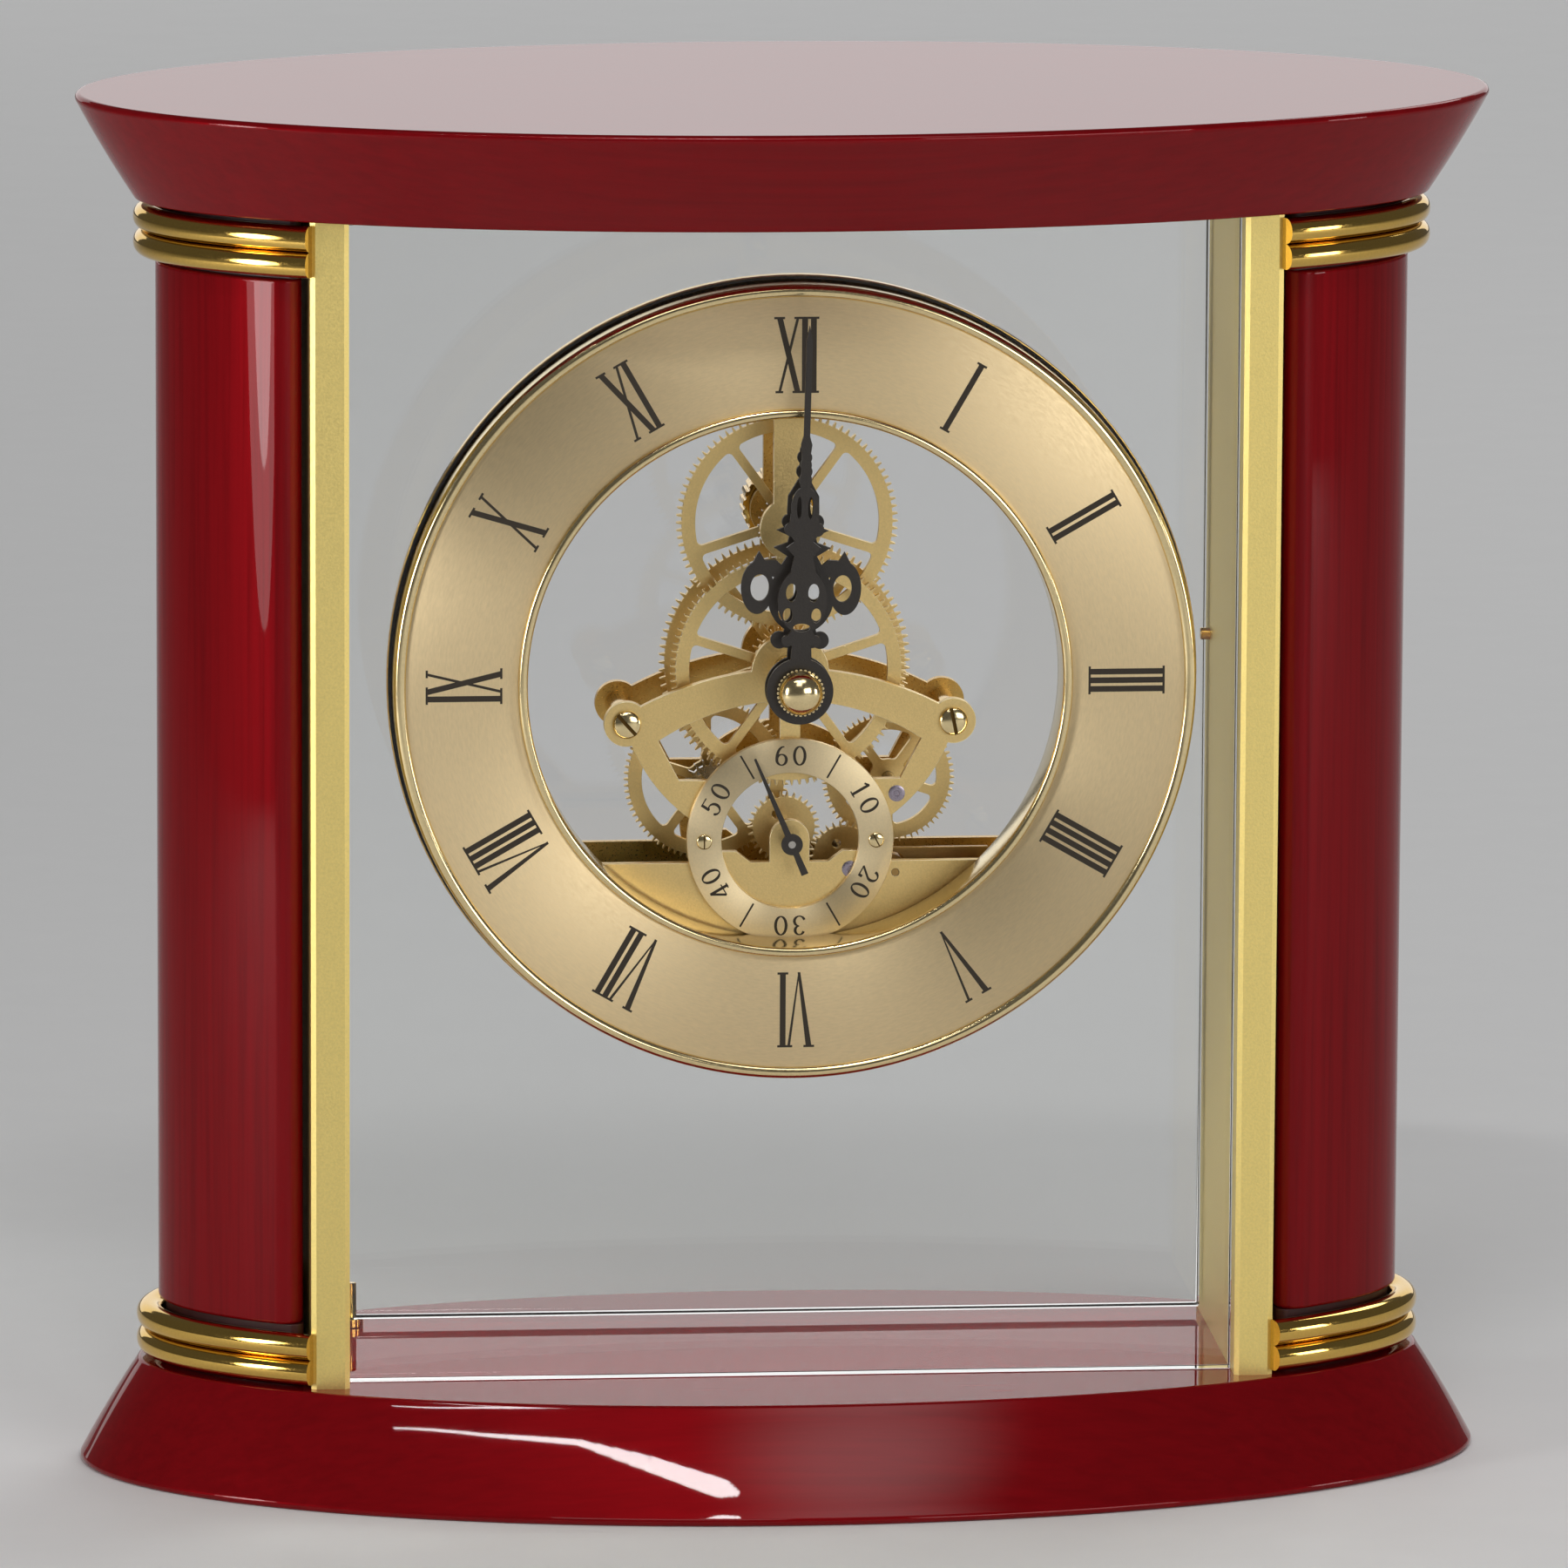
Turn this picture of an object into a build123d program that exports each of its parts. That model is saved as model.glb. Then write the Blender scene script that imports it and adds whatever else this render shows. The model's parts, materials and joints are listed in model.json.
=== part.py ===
from build123d import *
import math
import os

# Mantel clock with an open movement, in millimetres.
# +X is right and +Y is back as the dial is read, +Z is up; the origin is under the middle of the base.

# Case
case_width = 231.0
case_depth = 114.2
case_height = 226.0
slab_height = 17.2
slab_slope_x = 10.2
slab_slope_y = 12.9
slab_round = 0.8
felt_thickness = 1.0
felt_margin = 9.0

# Uprights, the bars beside the panes
upright_spacing = 144.5
upright_thickness = 6.25
upright_depth = 54.5
upright_bevel = 0.7
tenon_depth = 3.0
joint_gap = 0.1

# Columns, their cores and their rings
ring_overhang = 0.3
column_inset = 3.6
core_inset = 1.2
column_gap = 1.0
column_round = 3.0
bead_height = 4.2
bead_round = 1.9
ring_gap = 0.8
core_gap = 0.15

# Tie rods that clamp the case
rod_radius = 2.0
rod_hole_gap = 0.2
nut_radius = 4.0
nut_height = 3.2
nut_pocket_radius = 5.5
nut_pocket_depth = 7.0
insert_radius = 3.2
insert_length = 9.0

# Panes
glass_thickness = 4.0
glass_offset = 20.5
groove_depth = 2.0
door_top_gap = 1.5
door_edge_gap = 0.5
door_pivot_inset = 2.8
door_heel = 1.4
pivot_radius = 1.0
pivot_length = 3.0
pivot_bed = 6.0
collar_radius = 1.9
running_gap = 0.05
stop_radius = 1.0
stop_reach = 1.6
stop_embed = 2.0

# Dial and what holds it in the front pane
dial_top_gap = 11.2
dial_radius = 65.1
dial_stand = 3.5
dial_thickness = 1.2
bezel_wall = 1.5
bezel_lip = 0.6
bezel_round = 0.5
opening_radius = 43.4
inner_bezel_wall = 0.8
inner_bezel_lip = 0.8
carrier_wall = 3.3
carrier_setback = 4.3
pane_hole_gap = 0.2
clamp_width = 5.0
clamp_thickness = 2.0

# Plates of the movement, with places measured from the dial's centre
movement_setback = 10.0
plate_thickness = 1.6
plate_spacing = 17.6
eye_x = 26.6
eye_z = -8.2
eye_radius = 3.7
boss_radius = 6.3
arch_radius = 52.0
arch_top = 0.65
arch_inner_radius = 38.9
arch_inner_top = -4.6
bowl_radius = 27.7
bowl_centre_z = -1.5
web_width = 3.3
window_floor_z = -17.6
window_corner_x = 18.0
window_shoulder_x = 21.5
window_shoulder_z = -10.9
segment_top_z = -31.2
rear_segment_height = 6.4
tab_rise = 1.8
tab_inner_x = 8.7
tab_outer_x = 15.0
tab_slope = 2.4
seconds_boss_radius = 3.25
pillar_radius = 2.1
lower_pillar_x = 36.0
lower_pillar_drop = 3.3
arm_width = 5.7
arm_boss_radius = 5.0
arm_pillar_z = 50.0
carrier_screw_angle = 50.0
screw_radius = 1.2
screw_head_radius = 2.3
screw_head_height = 1.3
screw_slot_width = 0.6
screw_slot_depth = 0.6
screw_bite = 4.0
front_turns = [48, 78, 20, 110, 65]
rear_turns = [15, 130, 75, 40, 100]
carrier_turns = [30, 85, 140]
lug_turns = [55, 120]
fit_gap = 0.03

# Seconds sub-dial
seconds_z = -27.5
sub_dial_radius = 16.85
sub_dial_hole_radius = 11.2
sub_dial_thickness = 1.2
seat_setback = 0.5
sub_screw_radius = 0.7
sub_screw_head_radius = 1.25
sub_screw_head_height = 0.6

# Wheels: teeth of each meshing pair, wheel first, and the module of their teeth
wheel_thickness = 1.2
first_layer_gap = 1.8
layer_pitch = 3.6
addendum = 0.95
dedendum = 1.3
tooth_root_share = 0.21
tooth_tip_share = 0.055
rim_width = 2.2
spoke_count = 5
spoke_width = 1.5
spoke_round = 0.8
cannon_teeth = 30
motion_teeth = 90
motion_pinion_teeth = 24
hour_teeth = 96
motion_module = 0.3933
centre_teeth = 96
third_pinion_teeth = 16
centre_module = 0.42
third_teeth = 80
seconds_pinion_teeth = 8
third_module = 0.33
seconds_teeth = 30
idler_teeth = 30
rotor_teeth = 10
seconds_module = 0.37
idler_pinion_teeth = 24
side_teeth = 64
side_module = 0.33
idler_angle = -26.8
side_angle = 58.8
rotor_angle = -5.0

# Arbors, pipes and hands
pivot_fine = 0.6
arbor_radius = 1.0
hub_radius = 3.0
end_shake = 0.15
centre_radius = 1.2
collar_radius = 2.2
cannon_radius = 2.0
hour_pipe_radius = 2.9
hour_collar_radius = 4.2
hour_hand_stand = 4.0
hand_spacing = 2.0
hand_thickness = 0.8
hand_unit = 1.0
hands_turn = -1.3
hour_hub_radius = 5.4
minute_hub_radius = 5.4
hour_reach = 41.5
minute_reach = 59.5
nut_cap_radius = 3.9
nut_cap_height = 4.2
nut_cap_skirt = 1.4
nut_cap_notches = 28
seconds_hand_stand = 3.0
seconds_hand_thickness = 0.5
seconds_hand_angle = 23.2
seconds_hand_reach = 15.4
seconds_hand_tail = 5.4
seconds_hub_radius = 1.75
seconds_pipe_radius = 0.9
knob_radius = 6.0
knob_length = 6.5
knob_ribs = 24
knob_gap = 0.6

# Battery and motor
cell_radius = 7.25
cell_length = 49.2
cell_tip_radius = 2.75
cell_tip_length = 1.3
cell_gap = 0.4
contact_thickness = 0.4
contact_bump = 1.1
case_wall = 1.2
case_drop = 7.8
lug_width = 5.0
lug_height = 6.0
lug_depth = 5.4
board_length = 22.0
board_height = 5.6
board_thickness = 1.0
board_block = 1.0
block_length = 5.0
block_height = 2.8
block_round = 1.1
board_end_x = -10.0
stator_thickness = 1.0
stator_length = 19.0
stator_half_height = 2.9
stator_gap = 0.3
rotor_magnet_radius = 1.9
rotor_magnet_length = 3.0
coil_radius = 2.2
bobbin_flange = 1.0
bobbin_length = 11.0
bobbin_height = 6.0
bobbin_depth = 4.9

# Worked-out places of the case
narrow_x = case_width / 2 - slab_slope_x
narrow_y = case_depth / 2 - slab_slope_y
cap_z = case_height - slab_height
upright_inner_x = upright_spacing / 2
upright_outer_x = upright_inner_x + upright_thickness
upright_middle_x = (upright_inner_x + upright_outer_x) / 2
ring_reach_x = narrow_x + ring_overhang
ring_reach_y = narrow_y + ring_overhang
column_reach_x = ring_reach_x - column_inset
column_reach_y = ring_reach_y - column_inset
core_reach_x = column_reach_x - core_inset
core_reach_y = column_reach_y - core_inset
column_inner_x = upright_outer_x + column_gap
ring_height = 2 * bead_height
lower_ring_z = slab_height + ring_gap
column_z = lower_ring_z + ring_height + ring_gap
column_height = case_height - 2 * column_z
rod_x = (column_inner_x + column_reach_x) / 2

# Worked-out places of the panes and the movement, as depths along Y
pane_front_y = -glass_offset - glass_thickness / 2
pane_back_y = -glass_offset + glass_thickness / 2
dial_face_y = pane_front_y - dial_stand
dial_back_y = dial_face_y + dial_thickness
plate_front_y = dial_face_y + movement_setback
plate_back_y = plate_front_y + plate_thickness
rear_front_y = plate_back_y + plate_spacing
rear_back_y = rear_front_y + plate_thickness
plate_radius = dial_radius - carrier_setback
dial_height = cap_z - dial_top_gap - dial_radius
door_pivot_x = -upright_inner_x + door_pivot_inset

# Worked-out gear centres, from the dial's centre
motion_z = motion_module * (cannon_teeth + motion_teeth) / 2
third_reach = centre_module * (centre_teeth + third_pinion_teeth) / 2
third_to_seconds = third_module * (third_teeth + seconds_pinion_teeth) / 2
third_z = (third_to_seconds**2 - third_reach**2 - seconds_z**2) / (-2 * seconds_z)
third_x = -math.sqrt(third_reach**2 - third_z**2)
idler_reach = seconds_module * (seconds_teeth + idler_teeth) / 2
idler_x = idler_reach * math.cos(math.radians(idler_angle))
idler_z = seconds_z + idler_reach * math.sin(math.radians(idler_angle))
side_reach = side_module * (idler_pinion_teeth + side_teeth) / 2
side_x = idler_x + side_reach * math.cos(math.radians(side_angle))
side_z = idler_z + side_reach * math.sin(math.radians(side_angle))
rotor_reach = seconds_module * (idler_teeth + rotor_teeth) / 2
rotor_x = idler_x + rotor_reach * math.cos(math.radians(rotor_angle))
rotor_z = idler_z + rotor_reach * math.sin(math.radians(rotor_angle))
centre_at = (0, 0)
motion_at = (0, motion_z)
third_at = (third_x, third_z)
seconds_at = (0, seconds_z)
idler_at = (idler_x, idler_z)
side_at = (side_x, side_z)
rotor_at = (rotor_x, rotor_z)
lower_pillar_z = segment_top_z - lower_pillar_drop

os.makedirs("parts", exist_ok=True)


def keep(piece, name):
    """Label a finished piece and write it."""
    piece.part.label = name
    export_step(piece.part, f"parts/{name}.step")


def face_plane(y, at=(0, 0), turn=0.0):
    """A sketch plane that faces the reader of the dial, at depth y; turn is counter-clockwise."""
    across = (math.cos(math.radians(turn)), 0, math.sin(math.radians(turn)))
    return Plane(origin=(at[0], y, dial_height + at[1]), x_dir=across, z_dir=(0, -1, 0))


def layer_front(index):
    """Front face of a layer of wheels; layer 0 lies next to the front plate."""
    return plate_back_y + first_layer_gap + index * layer_pitch


def layer_back(index):
    return layer_front(index) + wheel_thickness


def turned(outline, at=(0, 0)):
    """A turned piece: (radius, depth) points spun about an axis along Y."""
    centre = (at[0], 0, dial_height + at[1])
    with BuildPart() as piece:
        with BuildSketch(Plane(origin=centre)):
            with BuildLine():
                Polyline(*outline, close=True)
            make_face()
        revolve(axis=Axis(centre, (0, 1, 0)))
    return piece


def stepped(steps):
    """The outline of a stepped shaft, from (radius, front, back) steps that follow each other."""
    outline = [(0, steps[0][1])]
    for radius, front, back in steps:
        outline += [(radius, front), (radius, back)]
    return outline + [(0, steps[-1][2])]


def tube_outline(inner, outer, front, back):
    return [(inner, front), (outer, front), (outer, back), (inner, back)]


def tooth_outline(teeth, module, phase):
    """Straight-sided pointed teeth; phase is the angle of one tooth, in radians."""
    step = 2 * math.pi / teeth
    root = module * (teeth / 2 - dedendum)
    tip = module * (teeth / 2 + addendum)
    corners = [
        (root, -tooth_root_share),
        (tip, -tooth_tip_share),
        (tip, tooth_tip_share),
        (root, tooth_root_share),
    ]
    points = []
    for tooth in range(teeth):
        for radius, share in corners:
            angle = phase + (tooth + share) * step
            points.append((radius * math.cos(angle), radius * math.sin(angle)))
    return points


def meshed(phase, teeth, at, other_teeth, other_at):
    """The phase that puts the other gear's gaps on this gear's teeth."""
    bearing = math.atan2(other_at[1] - at[1], other_at[0] - at[0])
    share = (bearing - phase) * teeth / (2 * math.pi)
    return bearing + math.pi - (0.5 - share) * 2 * math.pi / other_teeth


def corners_between(sketch, inner, outer):
    """The corners of a wheel's windows, which lie on the hub's and the rim's circles."""
    corners = sketch.sketch_local.vertices()
    return corners.filter_by(lambda v: inner - fit_gap < math.hypot(v.X, v.Y) < outer + fit_gap)


def crossed_wheel(teeth, module, phase, at, layer, bore, spoke_turn):
    """A toothed wheel with a rim, straight spokes and a hub."""
    rim = module * (teeth / 2 - dedendum) - rim_width
    with BuildPart() as wheel:
        with BuildSketch(face_plane(layer_back(layer), at)) as blank:
            Polygon(*tooth_outline(teeth, module, phase), align=None)
            Circle(rim, mode=Mode.SUBTRACT)
            with PolarLocations((hub_radius + rim) / 2, spoke_count, start_angle=spoke_turn):
                Rectangle(rim - hub_radius + rim_width, spoke_width)
            Circle(hub_radius)
            fillet(corners_between(blank, hub_radius, rim), spoke_round)
            Circle(bore, mode=Mode.SUBTRACT)
        extrude(amount=wheel_thickness)
    return wheel


def plain_wheel(teeth, module, phase, at, layer, bore):
    """A small toothed wheel with three round holes in its web."""
    rim = module * (teeth / 2 - dedendum) - rim_width / 2
    with BuildPart() as wheel:
        with BuildSketch(face_plane(layer_back(layer), at)):
            Polygon(*tooth_outline(teeth, module, phase), align=None)
            with PolarLocations((rim + bore) / 2, 3):
                Circle((rim - bore) / 4, mode=Mode.SUBTRACT)
            Circle(bore, mode=Mode.SUBTRACT)
        extrude(amount=wheel_thickness)
    return wheel


def arbor(steps, at, pinion=None):
    """A stepped arbor with an optional pinion (teeth, module, phase, layer) cut on it."""
    with BuildPart() as shaft:
        add(turned(stepped(steps), at).part)
        if pinion:
            teeth, module, phase, layer = pinion
            with BuildSketch(face_plane(layer_back(layer), at)):
                Polygon(*tooth_outline(teeth, module, phase), align=None)
            extrude(amount=wheel_thickness)
    return shaft


# Base and cap: sloping elliptical slabs
def slab(wide_z, narrow_z):
    with BuildPart() as block:
        with BuildSketch(Plane.XY.offset(wide_z)):
            Ellipse(case_width / 2, case_depth / 2)
        with BuildSketch(Plane.XY.offset(narrow_z)):
            Ellipse(narrow_x, narrow_y)
        loft()
        rims = block.edges().group_by(Axis.Z)
        fillet(rims[0] + rims[-1], slab_round)
    return block


def seats(face_z, into):
    """The mortises, the pane's groove and the door's pivot hole, to cut into the face at face_z."""
    with BuildPart() as hollow:
        with BuildSketch(Plane.XY.offset(face_z)):
            with Locations((-upright_middle_x, 0), (upright_middle_x, 0)):
                Rectangle(upright_thickness + 2 * joint_gap, upright_depth + 2 * joint_gap)
        extrude(amount=into * tenon_depth)
        with BuildSketch(Plane.XY.offset(face_z)):
            with Locations((0, -glass_offset)):
                Rectangle(upright_spacing, glass_thickness + 2 * joint_gap)
        extrude(amount=into * groove_depth)
        with BuildSketch(Plane.XY.offset(face_z)):
            with Locations((door_pivot_x, glass_offset)):
                Circle(pivot_radius + running_gap)
        extrude(amount=into * (pivot_length + joint_gap))
    return hollow


with BuildPart() as base:
    add(slab(0, slab_height).part)
    add(seats(slab_height, -1).part, mode=Mode.SUBTRACT)
    with BuildSketch(Plane.XY):
        Ellipse(case_width / 2 - felt_margin, case_depth / 2 - felt_margin)
    extrude(amount=felt_thickness, mode=Mode.SUBTRACT)
    with BuildSketch(Plane.XY):
        with Locations((-rod_x, 0), (rod_x, 0)):
            Circle(nut_pocket_radius)
    extrude(amount=nut_pocket_depth, mode=Mode.SUBTRACT)
    with BuildSketch(Plane.XY):
        with Locations((-rod_x, 0), (rod_x, 0)):
            Circle(rod_radius + rod_hole_gap)
    extrude(amount=slab_height, mode=Mode.SUBTRACT)
keep(base, "base")

with BuildPart() as base_felt:
    with BuildSketch(Plane.XY):
        Ellipse(case_width / 2 - felt_margin - joint_gap, case_depth / 2 - felt_margin - joint_gap)
    extrude(amount=felt_thickness)
keep(base_felt, "base_felt")

with BuildPart() as top_cap:
    add(slab(case_height, cap_z).part)
    add(seats(cap_z, 1).part, mode=Mode.SUBTRACT)
    with BuildSketch(Plane.XY.offset(cap_z)):
        with Locations((-rod_x, 0), (rod_x, 0)):
            Circle(insert_radius + fit_gap)
    extrude(amount=insert_length, mode=Mode.SUBTRACT)
keep(top_cap, "top_cap")


# Columns: elliptical segments beside the uprights, bored for the tie rods
def segment_post(side, reach_x, reach_y, bottom, top, corner):
    with BuildPart() as post:
        with BuildSketch(Plane.XY.offset(bottom)):
            Ellipse(reach_x, reach_y)
            with Locations((side * (column_inner_x + reach_x / 2), 0)):
                Rectangle(reach_x, 2 * reach_y, mode=Mode.INTERSECT)
        extrude(amount=top - bottom)
        fillet(post.edges().filter_by(Axis.Z).sort_by(lambda edge: abs(edge.center().X))[:2], corner)
        with BuildSketch(Plane.XY.offset(bottom)):
            with Locations((side * rod_x, 0)):
                Circle(rod_radius + rod_hole_gap)
        extrude(amount=top - bottom, mode=Mode.SUBTRACT)
    return post


# Double-bead ring round the end of a column
def ring_bead(side, bottom):
    with BuildPart() as bead:
        with BuildSketch(Plane.XY.offset(bottom)):
            Ellipse(ring_reach_x, ring_reach_y)
            Ellipse(core_reach_x + core_gap, core_reach_y + core_gap, mode=Mode.SUBTRACT)
            with Locations((side * (upright_outer_x + ring_reach_x / 2), 0)):
                Rectangle(ring_reach_x, 2 * ring_reach_y, mode=Mode.INTERSECT)
        extrude(amount=bead_height)
        outer = bead.edges().filter_by(GeomType.ELLIPSE).sort_by(SortBy.LENGTH)[-2:]
        fillet(outer, bead_round)
    return bead


def column_ring(side, bottom):
    with BuildPart() as ring:
        add(ring_bead(side, bottom).part)
        add(ring_bead(side, bottom + bead_height).part)
    return ring


for side, side_name in ((-1, "left"), (1, "right")):
    column = segment_post(
        side, column_reach_x, column_reach_y, column_z, column_z + column_height, column_round
    )
    keep(column, f"{side_name}_column")
    keep(column_ring(side, lower_ring_z), f"lower_{side_name}_ring")
    keep(column_ring(side, case_height - lower_ring_z - ring_height), f"upper_{side_name}_ring")

with BuildPart() as column_cores:
    for side in (-1, 1):
        for bottom, top in ((slab_height, column_z), (column_z + column_height, cap_z)):
            add(segment_post(side, core_reach_x, core_reach_y, bottom, top, column_round / 2).part)
keep(column_cores, "column_cores")

with BuildPart() as tie_rods:
    with BuildSketch(Plane.XY.offset(nut_pocket_depth - nut_height - joint_gap)):
        with Locations((-rod_x, 0), (rod_x, 0)):
            Circle(rod_radius)
    extrude(amount=cap_z + insert_length - nut_pocket_depth + nut_height)
keep(tie_rods, "tie_rods")

with BuildPart() as tie_nuts:
    with BuildSketch(Plane.XY.offset(nut_pocket_depth - nut_height)):
        with Locations((-rod_x, 0), (rod_x, 0)):
            RegularPolygon(nut_radius, 6)
            Circle(rod_radius + fit_gap, mode=Mode.SUBTRACT)
    extrude(amount=nut_height)
keep(tie_nuts, "tie_nuts")

with BuildPart() as cap_inserts:
    with BuildSketch(Plane.XY.offset(cap_z)):
        with Locations((-rod_x, 0), (rod_x, 0)):
            Circle(insert_radius)
            Circle(rod_radius + fit_gap, mode=Mode.SUBTRACT)
    extrude(amount=insert_length)
keep(cap_inserts, "cap_inserts")

# Uprights: bevelled bars with a groove for the front pane, tenoned into base and cap
stop_y = glass_offset - glass_thickness / 2 - stop_radius - running_gap
for side, side_name in ((-1, "left"), (1, "right")):
    with BuildPart() as upright:
        with BuildSketch(Plane.XY.offset(slab_height - tenon_depth)):
            with Locations((side * upright_middle_x, 0)):
                Rectangle(upright_thickness, upright_depth)
        extrude(amount=cap_z - slab_height + 2 * tenon_depth)
        chamfer(upright.edges().filter_by(Axis.Z), upright_bevel)
        with BuildSketch(Plane.XY.offset(slab_height - tenon_depth)):
            with Locations((side * upright_inner_x, -glass_offset)):
                Rectangle(2 * groove_depth, glass_thickness + 2 * joint_gap)
        extrude(amount=cap_z - slab_height + 2 * tenon_depth, mode=Mode.SUBTRACT)
        if side > 0:
            with BuildSketch(Plane.YZ.offset(upright_inner_x)):
                with Locations((stop_y, dial_height)):
                    Circle(stop_radius + fit_gap)
            extrude(amount=stop_embed, mode=Mode.SUBTRACT)
    keep(upright, f"{side_name}_upright")

with BuildPart() as door_stop:
    with BuildSketch(Plane.YZ.offset(upright_inner_x - stop_reach)):
        with Locations((stop_y, dial_height)):
            Circle(stop_radius)
    extrude(amount=stop_reach + stop_embed)
keep(door_stop, "door_stop")

# Front pane in the grooves, with the hole that the dial's carrier fills
with BuildPart() as front_glass:
    pane_reach = groove_depth - joint_gap
    with BuildSketch(face_plane(pane_back_y)):
        with Locations((0, case_height / 2 - dial_height)):
            Rectangle(upright_spacing + 2 * pane_reach, cap_z - slab_height + 2 * pane_reach)
        Circle(plate_radius + pane_hole_gap, mode=Mode.SUBTRACT)
    extrude(amount=glass_thickness)
keep(front_glass, "front_glass")

# Rear pane, hung on two pivot pins that are bedded in its edges and stand on collars
door_left_x = door_pivot_x - door_heel
door_right_x = upright_inner_x - door_edge_gap
door_low_z = slab_height + door_top_gap
door_height = cap_z - slab_height - 2 * door_top_gap
with BuildPart() as rear_glass:
    with BuildSketch(Plane.XY.offset(door_low_z)):
        with Locations(((door_left_x + door_right_x) / 2, glass_offset)):
            Rectangle(door_right_x - door_left_x, glass_thickness)
    extrude(amount=door_height)
    for edge_z, up in ((door_low_z, 1), (door_low_z + door_height, -1)):
        with BuildSketch(Plane.XY.offset(edge_z)):
            with Locations((door_pivot_x, glass_offset)):
                Circle(pivot_radius + fit_gap)
        extrude(amount=up * pivot_bed, mode=Mode.SUBTRACT)
keep(rear_glass, "rear_glass")

with BuildPart() as door_pivots:
    for face_z, up in ((slab_height, 1), (cap_z, -1)):
        with BuildSketch(Plane.XY.offset(face_z - up * pivot_length)):
            with Locations((door_pivot_x, glass_offset)):
                Circle(pivot_radius)
        extrude(amount=up * (pivot_length + door_top_gap + pivot_bed - fit_gap))
        with BuildSketch(Plane.XY.offset(face_z + up * running_gap)):
            with Locations((door_pivot_x, glass_offset)):
                Circle(collar_radius)
        extrude(amount=up * (door_top_gap - running_gap))
keep(door_pivots, "door_pivots")

# Dial: annular plate on a carrier that fills the pane's hole, with an outer and an inner bezel
plate_edge = dial_radius - bezel_wall
dial_outline = tube_outline(opening_radius + inner_bezel_wall, plate_edge, dial_face_y, dial_back_y)
keep(turned(dial_outline), "dial_plate")

with BuildPart() as outer_bezel:
    lip_inner = plate_edge - bezel_lip
    lip_front = dial_face_y - bezel_lip
    bezel_outline = [
        (lip_inner, lip_front),
        (dial_radius, lip_front),
        (dial_radius, pane_front_y),
        (plate_edge + fit_gap, pane_front_y),
        (plate_edge + fit_gap, dial_face_y),
        (lip_inner, dial_face_y),
    ]
    add(turned(bezel_outline).part)
    front_rims = outer_bezel.edges().filter_by(GeomType.CIRCLE).group_by(Axis.Y)[0]
    fillet(front_rims.sort_by(SortBy.RADIUS)[-1], bezel_round)
keep(outer_bezel, "outer_bezel")

tube_back_y = plate_front_y - sub_dial_thickness - joint_gap
tube_outer = opening_radius + inner_bezel_wall - fit_gap
inner_outline = [
    (opening_radius, dial_face_y - inner_bezel_lip),
    (tube_outer + inner_bezel_lip, dial_face_y - inner_bezel_lip),
    (tube_outer + inner_bezel_lip, dial_face_y),
    (tube_outer, dial_face_y),
    (tube_outer, tube_back_y),
    (opening_radius, tube_back_y),
]
keep(turned(inner_outline), "inner_bezel")

carrier_inner = plate_radius - carrier_wall
with BuildPart() as dial_carrier:
    carrier_outline = [
        (carrier_inner, dial_back_y),
        (plate_edge, dial_back_y),
        (plate_edge, pane_front_y),
        (plate_radius, pane_front_y),
        (plate_radius, plate_front_y),
        (carrier_inner, plate_front_y),
    ]
    add(turned(carrier_outline).part)
    carrier_screw_radius = plate_radius - carrier_wall / 2
    carrier_screw_places = [
        (
            carrier_screw_radius * math.cos(math.radians(angle)),
            carrier_screw_radius * math.sin(math.radians(angle)),
        )
        for angle in (90, -carrier_screw_angle, carrier_screw_angle - 180)
    ]
    with BuildSketch(face_plane(plate_front_y)):
        with Locations(*carrier_screw_places):
            Circle(screw_radius + fit_gap)
    extrude(amount=screw_bite, mode=Mode.SUBTRACT)
keep(dial_carrier, "dial_carrier")

clamp_inner = plate_radius + fit_gap
clamp_back = pane_back_y + clamp_thickness
clamp_outline = tube_outline(clamp_inner, clamp_inner + clamp_width, pane_back_y, clamp_back)
keep(turned(clamp_outline), "clamp_ring")

# Movement plates
eyes = [(-eye_x, eye_z), (eye_x, eye_z)]
lower_pillars = [(-lower_pillar_x, lower_pillar_z), (lower_pillar_x, lower_pillar_z)]
seat_radius = sub_dial_radius - seat_setback
seat_hole = sub_dial_hole_radius + seat_setback
sub_screw_x = (seat_radius + seat_hole) / 2
sub_screws = [(-sub_screw_x, seconds_z), (sub_screw_x, seconds_z)]


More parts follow.
